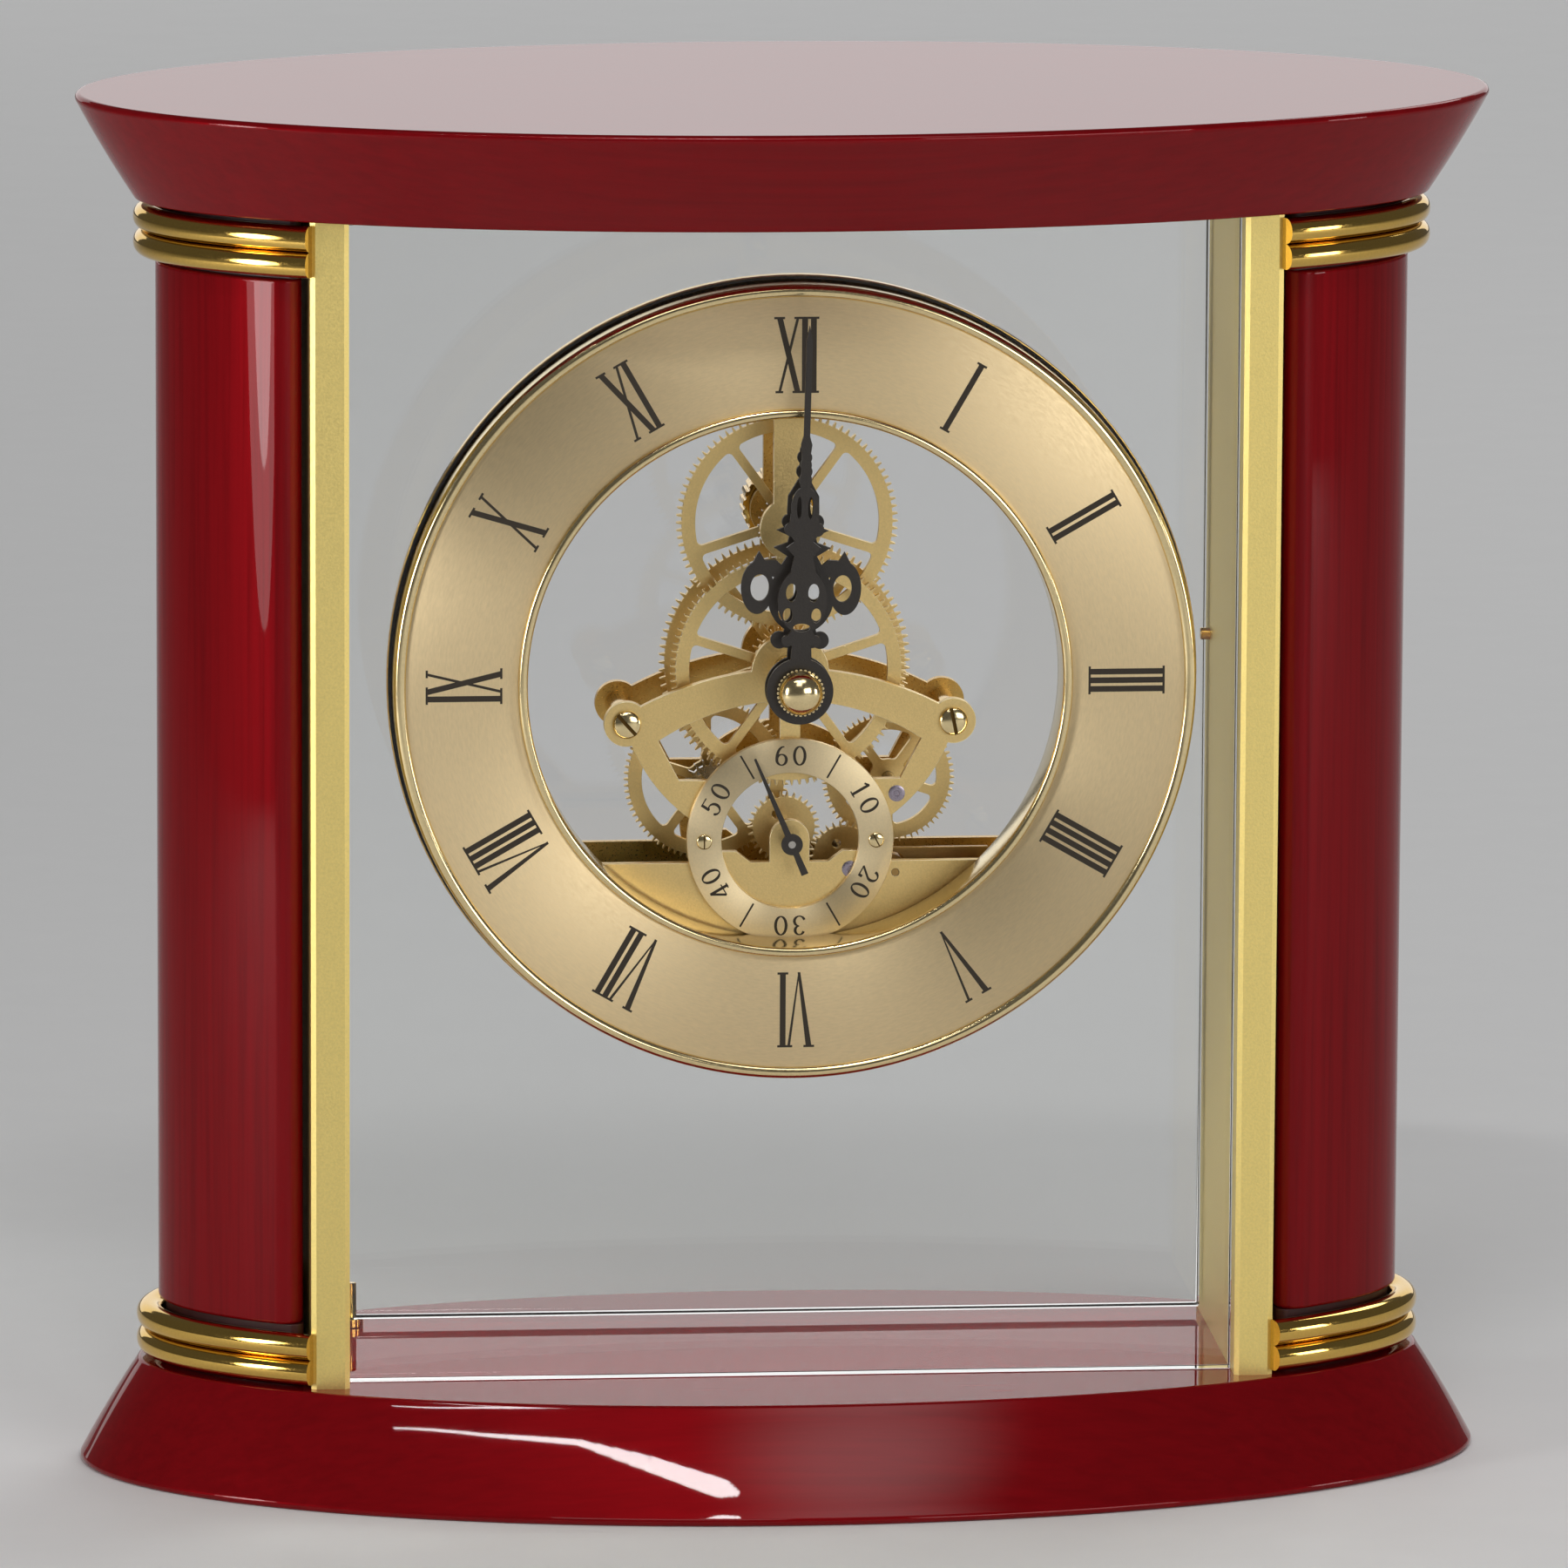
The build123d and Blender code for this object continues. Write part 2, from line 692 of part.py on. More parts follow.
def plate_outline(segment_radius, segment_bottom):
    """The outline of a movement plate: bowl, arch, eyes, seat for the sub-dial and lower segment."""
    with BuildSketch() as windows:
        for side in (-1, 1):
            Polygon(
                (side * web_width / 2, arch_top),
                (side * web_width / 2, window_floor_z),
                (side * window_corner_x, window_floor_z),
                (side * window_shoulder_x, window_shoulder_z),
                (side * window_shoulder_x, arch_top),
                align=None,
            )
        with Locations((0, arch_inner_top - arch_inner_radius)):
            Circle(arch_inner_radius, mode=Mode.INTERSECT)
    with BuildSketch() as segment:
        Circle(segment_radius)
        with Locations((0, (segment_top_z + segment_bottom) / 2)):
            Rectangle(2 * segment_radius, segment_top_z - segment_bottom, mode=Mode.INTERSECT)
    with BuildSketch() as outline:
        with Locations((0, bowl_centre_z)):
            Circle(bowl_radius)
        with Locations((0, arch_top - arch_radius)):
            Circle(arch_radius, mode=Mode.INTERSECT)
        add(windows.sketch, mode=Mode.SUBTRACT)
        with Locations(*eyes):
            Circle(eye_radius)
        Circle(boss_radius)
        with Locations(seconds_at):
            Circle(seat_radius)
            Circle(seat_hole, mode=Mode.SUBTRACT)
        add(segment.sketch)
        for side in (-1, 1):
            Polygon(
                (side * (tab_inner_x - tab_slope), segment_top_z),
                (side * tab_inner_x, segment_top_z + tab_rise),
                (side * tab_outer_x, segment_top_z + tab_rise),
                (side * tab_outer_x, segment_top_z),
                align=None,
            )
        with Locations(seconds_at):
            Circle(seconds_boss_radius)
        with Locations((0, (seconds_z + segment_top_z) / 2)):
            Rectangle(2 * seconds_boss_radius, seconds_z - segment_top_z)
    return outline.sketch


def drill(radius, *places):
    with Locations(*places):
        Circle(radius, mode=Mode.SUBTRACT)


# Lugs of the battery case, below the segment's top
cell_axis_z = segment_top_z - case_drop - case_wall - cell_gap - cell_radius
case_half_length = cell_length / 2 + cell_tip_length / 2 + contact_bump + contact_thickness
case_half_height = cell_radius + cell_gap
lugs = [
    (side * (case_half_length + case_wall + lug_width / 2), cell_axis_z + case_half_height - lug_height / 2)
    for side in (-1, 1)
]

bearing = pivot_fine + running_gap
with BuildPart() as front_plate:
    with BuildSketch(face_plane(plate_back_y)):
        add(plate_outline(plate_radius, -plate_radius))
        drill(hour_pipe_radius + running_gap, centre_at)
        drill(bearing, third_at, seconds_at, idler_at, side_at, rotor_at)
        drill(screw_radius + fit_gap, *eyes, *lower_pillars, *carrier_screw_places[1:], *lugs)
        drill(sub_screw_radius + fit_gap, *sub_screws)
    extrude(amount=plate_thickness)
keep(front_plate, "front_plate")

with BuildPart() as rear_plate:
    with BuildSketch(face_plane(rear_back_y)):
        add(plate_outline(plate_radius - carrier_wall, segment_top_z - rear_segment_height))
        drill(centre_radius + running_gap, centre_at)
        drill(bearing, third_at, seconds_at, idler_at, side_at, rotor_at)
        drill(screw_radius + fit_gap, *eyes, *lower_pillars)
    extrude(amount=plate_thickness)
keep(rear_plate, "rear_plate")


# Arms that carry the upper wheel
def upper_arm(back_y, reach, motion_bore, screws):
    with BuildPart() as arm:
        with BuildSketch(face_plane(back_y)):
            with Locations((0, (motion_z + reach) / 2)):
                Rectangle(arm_width, reach - motion_z)
            Circle(plate_radius, mode=Mode.INTERSECT)
            with Locations(motion_at):
                Circle(arm_boss_radius)
            drill(motion_bore, motion_at)
            drill(screw_radius + fit_gap, *screws)
        extrude(amount=plate_thickness)
    return arm


arm_pillar = (0, arm_pillar_z)
front_arm = upper_arm(plate_back_y, plate_radius, bearing, [arm_pillar, carrier_screw_places[0]])
keep(front_arm, "front_arm")
rear_arm_reach = arm_pillar_z + eye_radius
rear_arm = upper_arm(rear_back_y, rear_arm_reach, arbor_radius + running_gap, [arm_pillar])
keep(rear_arm, "rear_arm")

pillar_places = [*eyes, *lower_pillars, arm_pillar]
with BuildPart() as plate_pillars:
    with BuildSketch(face_plane(rear_front_y)):
        with Locations(*pillar_places):
            Circle(pillar_radius)
    extrude(amount=plate_spacing)
    for mouth_y, into in ((rear_front_y, 1), (plate_back_y, -1)):
        with BuildSketch(face_plane(mouth_y)):
            with Locations(*pillar_places):
                Circle(screw_radius + fit_gap)
        extrude(amount=into * screw_bite, mode=Mode.SUBTRACT)
keep(plate_pillars, "plate_pillars")


# Slotted screws: seat_y is the face under the head, into is +1 when the shank points backwards
def slotted_screws(places, seat_y, into, shank, slot_turns):
    with BuildPart() as screws:
        with BuildSketch(face_plane(seat_y)):
            with Locations(*places):
                Circle(screw_head_radius)
        extrude(amount=into * screw_head_height)
        rims = screws.edges().filter_by(GeomType.CIRCLE).group_by(Axis.Y)
        fillet(rims[0] if into > 0 else rims[-1], screw_slot_depth / 2)
        with BuildSketch(face_plane(seat_y)):
            with Locations(*places):
                Circle(screw_radius)
        extrude(amount=-into * shank)
        for place, turn in zip(places, slot_turns):
            slot_y = seat_y - into * (screw_head_height - screw_slot_depth)
            with BuildSketch(face_plane(slot_y, place, turn)):
                Rectangle(3 * screw_head_radius, screw_slot_width)
            extrude(amount=into * screw_head_height, mode=Mode.SUBTRACT)
    return screws


screw_shank = plate_thickness + screw_bite - end_shake
with BuildPart() as plate_screws:
    add(slotted_screws(pillar_places, plate_front_y, 1, screw_shank, front_turns).part)
    add(slotted_screws(pillar_places, rear_back_y, -1, screw_shank, rear_turns).part)
keep(plate_screws, "plate_screws")

keep(slotted_screws(carrier_screw_places, plate_back_y, -1, screw_shank, carrier_turns), "carrier_screws")

# Seconds sub-dial on the front plate
sub_face_y = plate_front_y - sub_dial_thickness
with BuildPart() as sub_dial:
    with BuildSketch(face_plane(plate_front_y)):
        with Locations(seconds_at):
            Circle(sub_dial_radius)
            Circle(sub_dial_hole_radius, mode=Mode.SUBTRACT)
        drill(sub_screw_radius + fit_gap, *sub_screws)
    extrude(amount=sub_dial_thickness)
keep(sub_dial, "sub_dial")

with BuildPart() as sub_dial_screws:
    with BuildSketch(face_plane(sub_face_y)):
        with Locations(*sub_screws):
            Circle(sub_screw_head_radius)
    extrude(amount=sub_screw_head_height)
    with BuildSketch(face_plane(sub_face_y)):
        with Locations(*sub_screws):
            Circle(sub_screw_radius)
    extrude(amount=-sub_dial_thickness - plate_thickness)
    with BuildSketch(face_plane(sub_face_y - sub_screw_head_height / 2)):
        with Locations(*sub_screws):
            Rectangle(screw_slot_width / 2, 3 * sub_screw_head_radius)
    extrude(amount=sub_screw_head_height, mode=Mode.SUBTRACT)
keep(sub_dial_screws, "sub_dial_screws")

# Phases of the meshing teeth
upright_phase = math.pi / 2
motion_phase = meshed(upright_phase, cannon_teeth, centre_at, motion_teeth, motion_at)
hour_phase = meshed(upright_phase, motion_pinion_teeth, motion_at, hour_teeth, centre_at)
third_pinion_phase = meshed(upright_phase, centre_teeth, centre_at, third_pinion_teeth, third_at)
seconds_pinion_phase = meshed(0, third_teeth, third_at, seconds_pinion_teeth, seconds_at)
idler_phase = meshed(0, seconds_teeth, seconds_at, idler_teeth, idler_at)
side_phase = meshed(0, idler_pinion_teeth, idler_at, side_teeth, side_at)
rotor_phase = meshed(idler_phase, idler_teeth, idler_at, rotor_teeth, rotor_at)

# Depths of the shoulders between the plates
shoulder_front = plate_back_y + end_shake
shoulder_back = rear_front_y - end_shake
pivot_front = plate_front_y + end_shake
pivot_back = rear_back_y - end_shake
wheel_bore = arbor_radius + fit_gap


def plain_steps(front=pivot_front):
    """An arbor with a fine pivot in each plate."""
    return [
        (pivot_fine, front, shoulder_front),
        (arbor_radius, shoulder_front, shoulder_back),
        (pivot_fine, shoulder_back, pivot_back),
    ]


# Centre arbor with the centre wheel, the cannon pinion, the minute hand and its nut
hour_hand_back = dial_face_y - hour_hand_stand + hand_thickness / 2
hour_hand_front = hour_hand_back - hand_thickness
minute_hand_back = hour_hand_front - hand_spacing
minute_hand_front = minute_hand_back - hand_thickness
centre_front = minute_hand_front - nut_cap_height / 2
centre_steps = [
    (centre_radius, centre_front, layer_back(2)),
    (collar_radius, layer_back(2), shoulder_back),
    (centre_radius, shoulder_back, rear_back_y),
]
keep(turned(stepped(centre_steps)), "centre_arbor")
centre_bore = centre_radius + fit_gap
centre_wheel = crossed_wheel(
    centre_teeth, centre_module, upright_phase, centre_at, 2, centre_bore, 90 + 180 / spoke_count
)
keep(centre_wheel, "centre_wheel")

with BuildPart() as cannon_pinion:
    add(turned(tube_outline(centre_bore, cannon_radius, minute_hand_back, layer_front(2))).part)
    with BuildSketch(face_plane(layer_back(1))):
        Polygon(*tooth_outline(cannon_teeth, motion_module, upright_phase), align=None)
        Circle(centre_bore, mode=Mode.SUBTRACT)
    extrude(amount=wheel_thickness)
keep(cannon_pinion, "cannon_pinion")

with BuildPart() as hour_wheel:
    pipe_bore = cannon_radius + running_gap
    add(crossed_wheel(hour_teeth, motion_module, hour_phase, centre_at, 0, pipe_bore, 90).part)
    add(turned(tube_outline(pipe_bore, hour_pipe_radius, hour_hand_front, layer_back(0))).part)
    add(turned(tube_outline(pipe_bore, hour_collar_radius, shoulder_front, layer_back(0))).part)
keep(hour_wheel, "hour_wheel")

# Upper wheel and its arbor, which carries the setting knob behind the rear arm
motion_wheel = crossed_wheel(
    motion_teeth, motion_module, motion_phase, motion_at, 1, wheel_bore, 90 + 180 / spoke_count
)
keep(motion_wheel, "motion_wheel")
knob_front = rear_back_y + knob_gap
knob_back = knob_front + knob_length
motion_steps = [
    (pivot_fine, pivot_front, shoulder_front),
    (arbor_radius, shoulder_front, layer_front(2)),
    (collar_radius, layer_front(2), shoulder_back),
    (arbor_radius, shoulder_back, knob_back - end_shake),
]
motion_pinion = (motion_pinion_teeth, motion_module, upright_phase, 0)
keep(arbor(motion_steps, motion_at, motion_pinion), "motion_arbor")

with BuildPart() as setting_knob:
    add(turned(tube_outline(wheel_bore, knob_radius, knob_front, knob_back), motion_at).part)
    with BuildSketch(face_plane(knob_back, motion_at)):
        with PolarLocations(knob_radius, knob_ribs):
            Circle(knob_radius * math.pi / knob_ribs / 2)
    extrude(amount=knob_length, mode=Mode.SUBTRACT)
keep(setting_knob, "setting_knob")

# Third wheel, seconds wheel, idler, side wheel and rotor
keep(crossed_wheel(third_teeth, third_module, 0, third_at, 3, wheel_bore, 90), "third_wheel")
third_pinion = (third_pinion_teeth, centre_module, third_pinion_phase, 2)
keep(arbor(plain_steps(), third_at, third_pinion), "third_arbor")

keep(plain_wheel(seconds_teeth, seconds_module, 0, seconds_at, 2, wheel_bore), "seconds_wheel")
seconds_front = sub_face_y - seconds_hand_stand - seconds_hand_thickness
seconds_pinion = (seconds_pinion_teeth, third_module, seconds_pinion_phase, 3)
keep(arbor(plain_steps(seconds_front), seconds_at, seconds_pinion), "seconds_arbor")

keep(plain_wheel(idler_teeth, seconds_module, idler_phase, idler_at, 2, wheel_bore), "idler_wheel")
idler_pinion = (idler_pinion_teeth, side_module, 0, 3)
keep(arbor(plain_steps(), idler_at, idler_pinion), "idler_arbor")

keep(crossed_wheel(side_teeth, side_module, side_phase, side_at, 3, wheel_bore, 126), "side_wheel")
keep(arbor(plain_steps(), side_at), "side_arbor")

magnet_back = layer_front(2) - layer_pitch / 2
magnet_front = magnet_back - rotor_magnet_length
rotor_steps = [
    (pivot_fine, pivot_front, shoulder_front),
    (arbor_radius, shoulder_front, magnet_front),
    (rotor_magnet_radius, magnet_front, magnet_back),
    (arbor_radius, magnet_back, shoulder_back),
    (pivot_fine, shoulder_back, pivot_back),
]
keep(arbor(rotor_steps, rotor_at, (rotor_teeth, seconds_module, rotor_phase, 2)), "motor_rotor")

# Hands: flat pierced hands with scrolls, drawn at twelve o'clock in steps of the hand unit
def mirrored(*points, tip=None):
    """A closed outline that is the same on both sides of the hand's middle line."""
    right = [(x * hand_unit, z * hand_unit) for x, z in points]
    if tip:
        right.append((0, tip))
    Polygon(*right, *[(-x, z) for x, z in reversed(right) if x], align=None)


def pair(x, z, *radii, mode=Mode.ADD):
    """Two ellipses, one on each side of the middle line."""
    with Locations((-x * hand_unit, z * hand_unit), (x * hand_unit, z * hand_unit)):
        Ellipse(*[radius * hand_unit for radius in radii], mode=mode)


def oval(z, *radii, mode=Mode.ADD):
    with Locations((0, z * hand_unit)):
        Ellipse(*[radius * hand_unit for radius in radii], mode=mode)


with BuildPart() as hour_hand:
    with BuildSketch(face_plane(hour_hand_back, turn=hands_turn)):
        mirrored((2.0, 4.4), (1.9, 6.6), (3.2, 6.8), (2.4, 10.2), (4.0, 12.0))
        pair(3.3, 7.9, 1.4, 1.4)
        pair(7.1, 16.4, 2.6, 4.3)
        pair(6.7, 16.4, 1.5, 2.2, mode=Mode.SUBTRACT)
        mirrored((4.0, 18.0), (8.4, 19.6), (6.9, 22.4), (6.0, 20.9), (4.2, 21.0), (3.0, 19.9))
        oval(14.8, 5.3, 5.8)
        pair(2.1, 16.3, 1.2, 1.8, mode=Mode.SUBTRACT)
        pair(2.6, 12.4, 1.0, 1.4, mode=Mode.SUBTRACT)
        oval(10.3, 1.7, 0.8, mode=Mode.SUBTRACT)
        mirrored((3.6, 19.6), (2.4, 21.6), (4.6, 23.0), (2.4, 23.8), (2.1, 24.9), (4.2, 25.8), (2.2, 26.6))
        mirrored((2.0, 26.0), (2.6, 28.6), (2.5, 31.4), (0.9, 34.2))
        pair(2.3, 27.2, 1.1, 1.2)
        pair(1.5, 30.0, 0.4, 1.7, mode=Mode.SUBTRACT)
        oval(35.4, 1.3, 1.3)
        oval(37.7, 1.2, 1.2)
        mirrored((0.8, 33.6), (0.8, 39.0), (0.5, 39.8), tip=hour_reach)
        Circle(hour_hub_radius)
        Circle(hour_pipe_radius + fit_gap, mode=Mode.SUBTRACT)
    extrude(amount=hand_thickness)
keep(hour_hand, "hour_hand")

with BuildPart() as minute_hand:
    with BuildSketch(face_plane(minute_hand_back, turn=hands_turn)):
        mirrored((1.7, 4.0), (1.5, 7.4), (2.6, 8.4), (1.6, 10.0))
        pair(2.3, 8.2, 0.9, 0.9)
        oval(14.8, 4.0, 5.3)
        pair(1.8, 16.1, 0.9, 1.5, mode=Mode.SUBTRACT)
        pair(2.3, 12.4, 0.8, 1.2, mode=Mode.SUBTRACT)
        oval(10.4, 1.4, 0.7, mode=Mode.SUBTRACT)
        mirrored((2.2, 18.8), (1.5, 22.0), (2.8, 23.4), (1.5, 24.4), (2.6, 26.0), (2.2, 29.0))
        pair(2.2, 26.4, 1.0, 1.1)
        oval(29.8, 2.2, 3.6)
        pair(0.9, 30.0, 0.4, 1.8, mode=Mode.SUBTRACT)
        oval(34.4, 1.0, 1.4)
        oval(36.9, 0.9, 1.3)
        mirrored((0.8, 32.6), (0.7, 38.6), (0.9, 40.2), (0.5, 41.6), (0.5, 57.0), tip=minute_reach)
        Circle(minute_hub_radius)
        Circle(centre_bore, mode=Mode.SUBTRACT)
    extrude(amount=hand_thickness)
keep(minute_hand, "minute_hand")

seconds_hand_back = seconds_front + seconds_hand_thickness
with BuildPart() as seconds_hand:
    with BuildSketch(face_plane(seconds_hand_back, seconds_at, seconds_hand_angle)):
        mirrored((0.55, 0), (0.2, seconds_hand_reach))
        mirrored((0.45, 0), (0.6, -seconds_hand_tail))
        Circle(seconds_hub_radius)
        Circle(pivot_fine + fit_gap, mode=Mode.SUBTRACT)
    extrude(amount=seconds_hand_thickness)
    with BuildSketch(face_plane(sub_face_y, seconds_at)):
        Circle(seconds_pipe_radius)
        Circle(pivot_fine + fit_gap, mode=Mode.SUBTRACT)
    extrude(amount=seconds_hand_stand)
keep(seconds_hand, "seconds_hand")

with BuildPart() as hand_nut:
    nut_front = minute_hand_front - nut_cap_height
    skirt_edge = (nut_cap_radius, minute_hand_front - nut_cap_skirt)
    with BuildSketch(Plane(origin=(0, 0, dial_height))):
        with BuildLine():
            Polyline(
                (0, nut_front),
                (0, centre_front - end_shake),
                (centre_bore, centre_front - end_shake),
                (centre_bore, minute_hand_front),
                (nut_cap_radius, minute_hand_front),
                skirt_edge,
            )
            Spline(skirt_edge, (0, nut_front), tangents=((0, -1), (-1, 0)))
        make_face()
    revolve(axis=Axis((0, 0, dial_height), (0, 1, 0)))
    with BuildSketch(face_plane(minute_hand_front)):
        with PolarLocations(nut_cap_radius, nut_cap_notches):
            Circle(nut_cap_radius * math.pi / nut_cap_notches / 2)
    extrude(amount=nut_cap_skirt, mode=Mode.SUBTRACT)
keep(hand_nut, "hand_nut")

# Battery case: a tray behind the lower segment, open at the back, with a lug at each end
cell_y = plate_back_y + case_wall + cell_gap + cell_radius
tray_back = cell_y + cell_radius
cell_centre = (0, cell_axis_z)
with BuildPart() as battery_case:
    with BuildSketch(face_plane(tray_back, cell_centre)):
        Rectangle(2 * (case_half_length + case_wall), 2 * (case_half_height + case_wall))
    extrude(amount=tray_back - plate_back_y)
    with BuildSketch(face_plane(tray_back, cell_centre)):
        Rectangle(2 * case_half_length, 2 * case_half_height)
    extrude(amount=tray_back - plate_back_y - case_wall, mode=Mode.SUBTRACT)
    with BuildSketch(face_plane(plate_back_y + lug_depth)):
        with Locations(*lugs):
            Rectangle(lug_width, lug_height)
    extrude(amount=lug_depth)
    with BuildSketch(face_plane(plate_back_y)):
        with Locations(*lugs):
            Circle(screw_radius + fit_gap)
    extrude(amount=-screw_bite, mode=Mode.SUBTRACT)
keep(battery_case, "battery_case")

keep(slotted_screws(lugs, plate_front_y, 1, screw_shank, lug_turns), "case_screws")

with BuildPart() as battery:
    body_start = -(cell_length + cell_tip_length) / 2
    with BuildSketch(Plane.YZ.offset(body_start)):
        with Locations((cell_y, dial_height + cell_axis_z)):
            Circle(cell_radius)
    extrude(amount=cell_length)
    with BuildSketch(Plane.YZ.offset(body_start + cell_length)):
        with Locations((cell_y, dial_height + cell_axis_z)):
            Circle(cell_tip_radius)
    extrude(amount=cell_tip_length)
keep(battery, "battery")

with BuildPart() as battery_contacts:
    for side in (-1, 1):
        with BuildSketch(Plane.YZ.offset(side * case_half_length)):
            with Locations((cell_y, dial_height + cell_axis_z)):
                Rectangle(2 * cell_radius - 2 * cell_gap, 2 * cell_radius - 2 * cell_gap)
        extrude(amount=-side * contact_thickness)
        with BuildSketch(Plane.YZ.offset(side * (case_half_length - contact_thickness))):
            with Locations((cell_y, dial_height + cell_axis_z)):
                Circle(cell_tip_radius)
        extrude(amount=-side * contact_bump)
keep(battery_contacts, "battery_contacts")

# Circuit board and stepper motor on the back of the front plate
motor_low_z = cell_axis_z + case_half_height + case_wall + cell_gap
with BuildPart() as circuit_board:
    with BuildSketch(face_plane(plate_back_y + board_thickness, (board_end_x, motor_low_z))):
        Rectangle(board_length, board_height, align=(Align.MAX, Align.MIN))
    extrude(amount=board_thickness)
    block_centre = (board_end_x - board_length / 2, motor_low_z + board_height / 2)
    with BuildSketch(face_plane(plate_back_y + board_thickness, block_centre)):
        with GridLocations(board_length / 2, 0, 2, 1):
            RectangleRounded(block_length, block_height, block_round)
    extrude(amount=-board_block)
keep(circuit_board, "circuit_board")

stator_back = plate_back_y + bobbin_depth + stator_thickness
stator_start = rotor_x - rotor_magnet_radius - stator_gap - bobbin_flange
stator_end = stator_start + stator_length
with BuildPart() as motor_stator:
    with BuildSketch(face_plane(stator_back)):
        with Locations((stator_start, rotor_z)):
            Rectangle(stator_length, 2 * stator_half_height, align=(Align.MIN, Align.CENTER))
        drill(rotor_magnet_radius + stator_gap, rotor_at)
    extrude(amount=stator_thickness)
keep(motor_stator, "motor_stator")

coil_z = motor_low_z + bobbin_height / 2
with BuildPart() as motor_coil:
    for start in (stator_end - bobbin_length, stator_end - bobbin_flange):
        with BuildSketch(face_plane(plate_back_y + bobbin_depth)):
            with Locations((start, coil_z)):
                Rectangle(bobbin_flange, bobbin_height, align=(Align.MIN, Align.CENTER))
        extrude(amount=bobbin_depth)
    with BuildSketch(Plane.YZ.offset(stator_end - bobbin_length)):
        with Locations((plate_back_y + bobbin_depth / 2, dial_height + coil_z)):
            Circle(coil_radius)
    extrude(amount=bobbin_length)
keep(motor_coil, "motor_coil")
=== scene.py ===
# %% [markdown]
# # A mantel clock with an open movement
# The clock is a lacquered wooden base and cap, two lacquered columns with brass rings, two gilt bars
# that hold panes of glass, and a gilt movement that hangs in a ring-shaped dial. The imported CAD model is
# loaded first as a fixed frame, and every piece below is made in that frame, in metres, where its CAD
# node lies. +X is right and +Y is back as the dial is read, and +Z is up.

# %% Load the frame
import json
import math

import bmesh
import bpy
from mathutils import Matrix, Vector
from mathutils.geometry import delaunay_2d_cdt


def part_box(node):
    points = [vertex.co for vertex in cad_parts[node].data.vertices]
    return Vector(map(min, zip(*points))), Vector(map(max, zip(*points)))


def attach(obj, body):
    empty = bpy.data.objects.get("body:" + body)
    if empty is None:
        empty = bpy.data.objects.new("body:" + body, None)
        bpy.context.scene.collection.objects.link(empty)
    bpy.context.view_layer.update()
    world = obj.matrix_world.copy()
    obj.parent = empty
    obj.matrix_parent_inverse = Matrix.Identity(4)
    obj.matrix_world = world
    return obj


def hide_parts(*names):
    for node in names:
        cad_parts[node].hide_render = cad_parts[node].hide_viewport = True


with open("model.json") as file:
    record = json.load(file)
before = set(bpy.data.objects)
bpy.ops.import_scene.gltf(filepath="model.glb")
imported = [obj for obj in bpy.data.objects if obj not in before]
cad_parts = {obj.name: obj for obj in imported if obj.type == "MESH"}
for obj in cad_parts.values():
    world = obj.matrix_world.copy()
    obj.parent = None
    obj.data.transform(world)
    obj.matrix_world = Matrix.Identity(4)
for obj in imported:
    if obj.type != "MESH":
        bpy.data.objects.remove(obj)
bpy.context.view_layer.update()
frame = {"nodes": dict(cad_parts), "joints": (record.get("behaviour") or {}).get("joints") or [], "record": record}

scene = bpy.context.scene
scene.view_settings.view_transform = "Standard"
mm = 0.001
hair = 0.001 * mm
home = {node: body for body, nodes in frame["record"]["behaviour"]["bodies"].items() for node in nodes}
axes = {joint["name"]: Vector(joint["pos_m"]) for joint in frame["joints"]}
dial_z = axes["minute_turn"].z
print(len(home), "nodes, dial axis at", round(dial_z, 4))

# %% [markdown]
# ## Camera
# The photograph was taken from a little to the left and above with a long lens, so the lens here is long
# too and stands over two metres away. The camera's three axes are written out from its bearing, its dip
# and a slight roll, which is exact where aiming at a point would lose the roll.

# %% Camera
camera_place = Vector((-0.211854, -2.338303, 0.550823))
camera_bearing = math.radians(5.189)
camera_dip = math.radians(10.606)
camera_roll = math.radians(0.271)
camera_data = bpy.data.cameras.new("camera")
camera_data.sensor_width = 36.0
camera_data.lens = 335.545
camera_data.clip_end = 50.0
camera = bpy.data.objects.new("camera", camera_data)
scene.collection.objects.link(camera)
scene.camera = camera
level_ahead = Vector((math.sin(camera_bearing), math.cos(camera_bearing), 0.0))
level_right = Vector((level_ahead.y, -level_ahead.x, 0.0))
ahead = level_ahead * math.cos(camera_dip) - Vector((0.0, 0.0, math.sin(camera_dip)))
level_up = level_right.cross(ahead)
right = level_right * math.cos(camera_roll) + level_up * math.sin(camera_roll)
up = right.cross(ahead)
turned_to = Matrix((right, up, -ahead)).transposed()
camera.matrix_world = Matrix.Translation(camera_place) @ turned_to.to_4x4()
print("camera", round(camera_place.length, 3), "m from the clock's foot")

# %% [markdown]
# ## Helpers for meshes
# Most pieces are skins: rows of points that each go once round, joined by quads. Blender's own primitives
# could be scaled and cut instead, but rows keep every quad in line with the piece, and that is what lets a
# long reflection run smoothly over it. A finished piece rides on a body, and its faces are counted.

# %% Pieces
def piece_from(name, bm, *finishes, sharp=32.0):
    """An object at the origin with smooth faces and edges that stay sharp past an angle in degrees."""
    mesh = bpy.data.meshes.new(name)
    bm.to_mesh(mesh)
    bm.free()
    return piece_of_mesh(name, mesh, *finishes, sharp=sharp)


def piece_of_mesh(name, mesh, *finishes, sharp=32.0):
    """The same from a mesh that is there already."""
    mesh.name = name
    if finishes:
        mesh.materials.clear()
    for finish in finishes:
        mesh.materials.append(finish)
    mesh.shade_smooth()
    mesh.set_sharp_from_angle(angle=math.radians(sharp))
    piece = bpy.data.objects.new(name, mesh)
    scene.collection.objects.link(piece)
    return piece


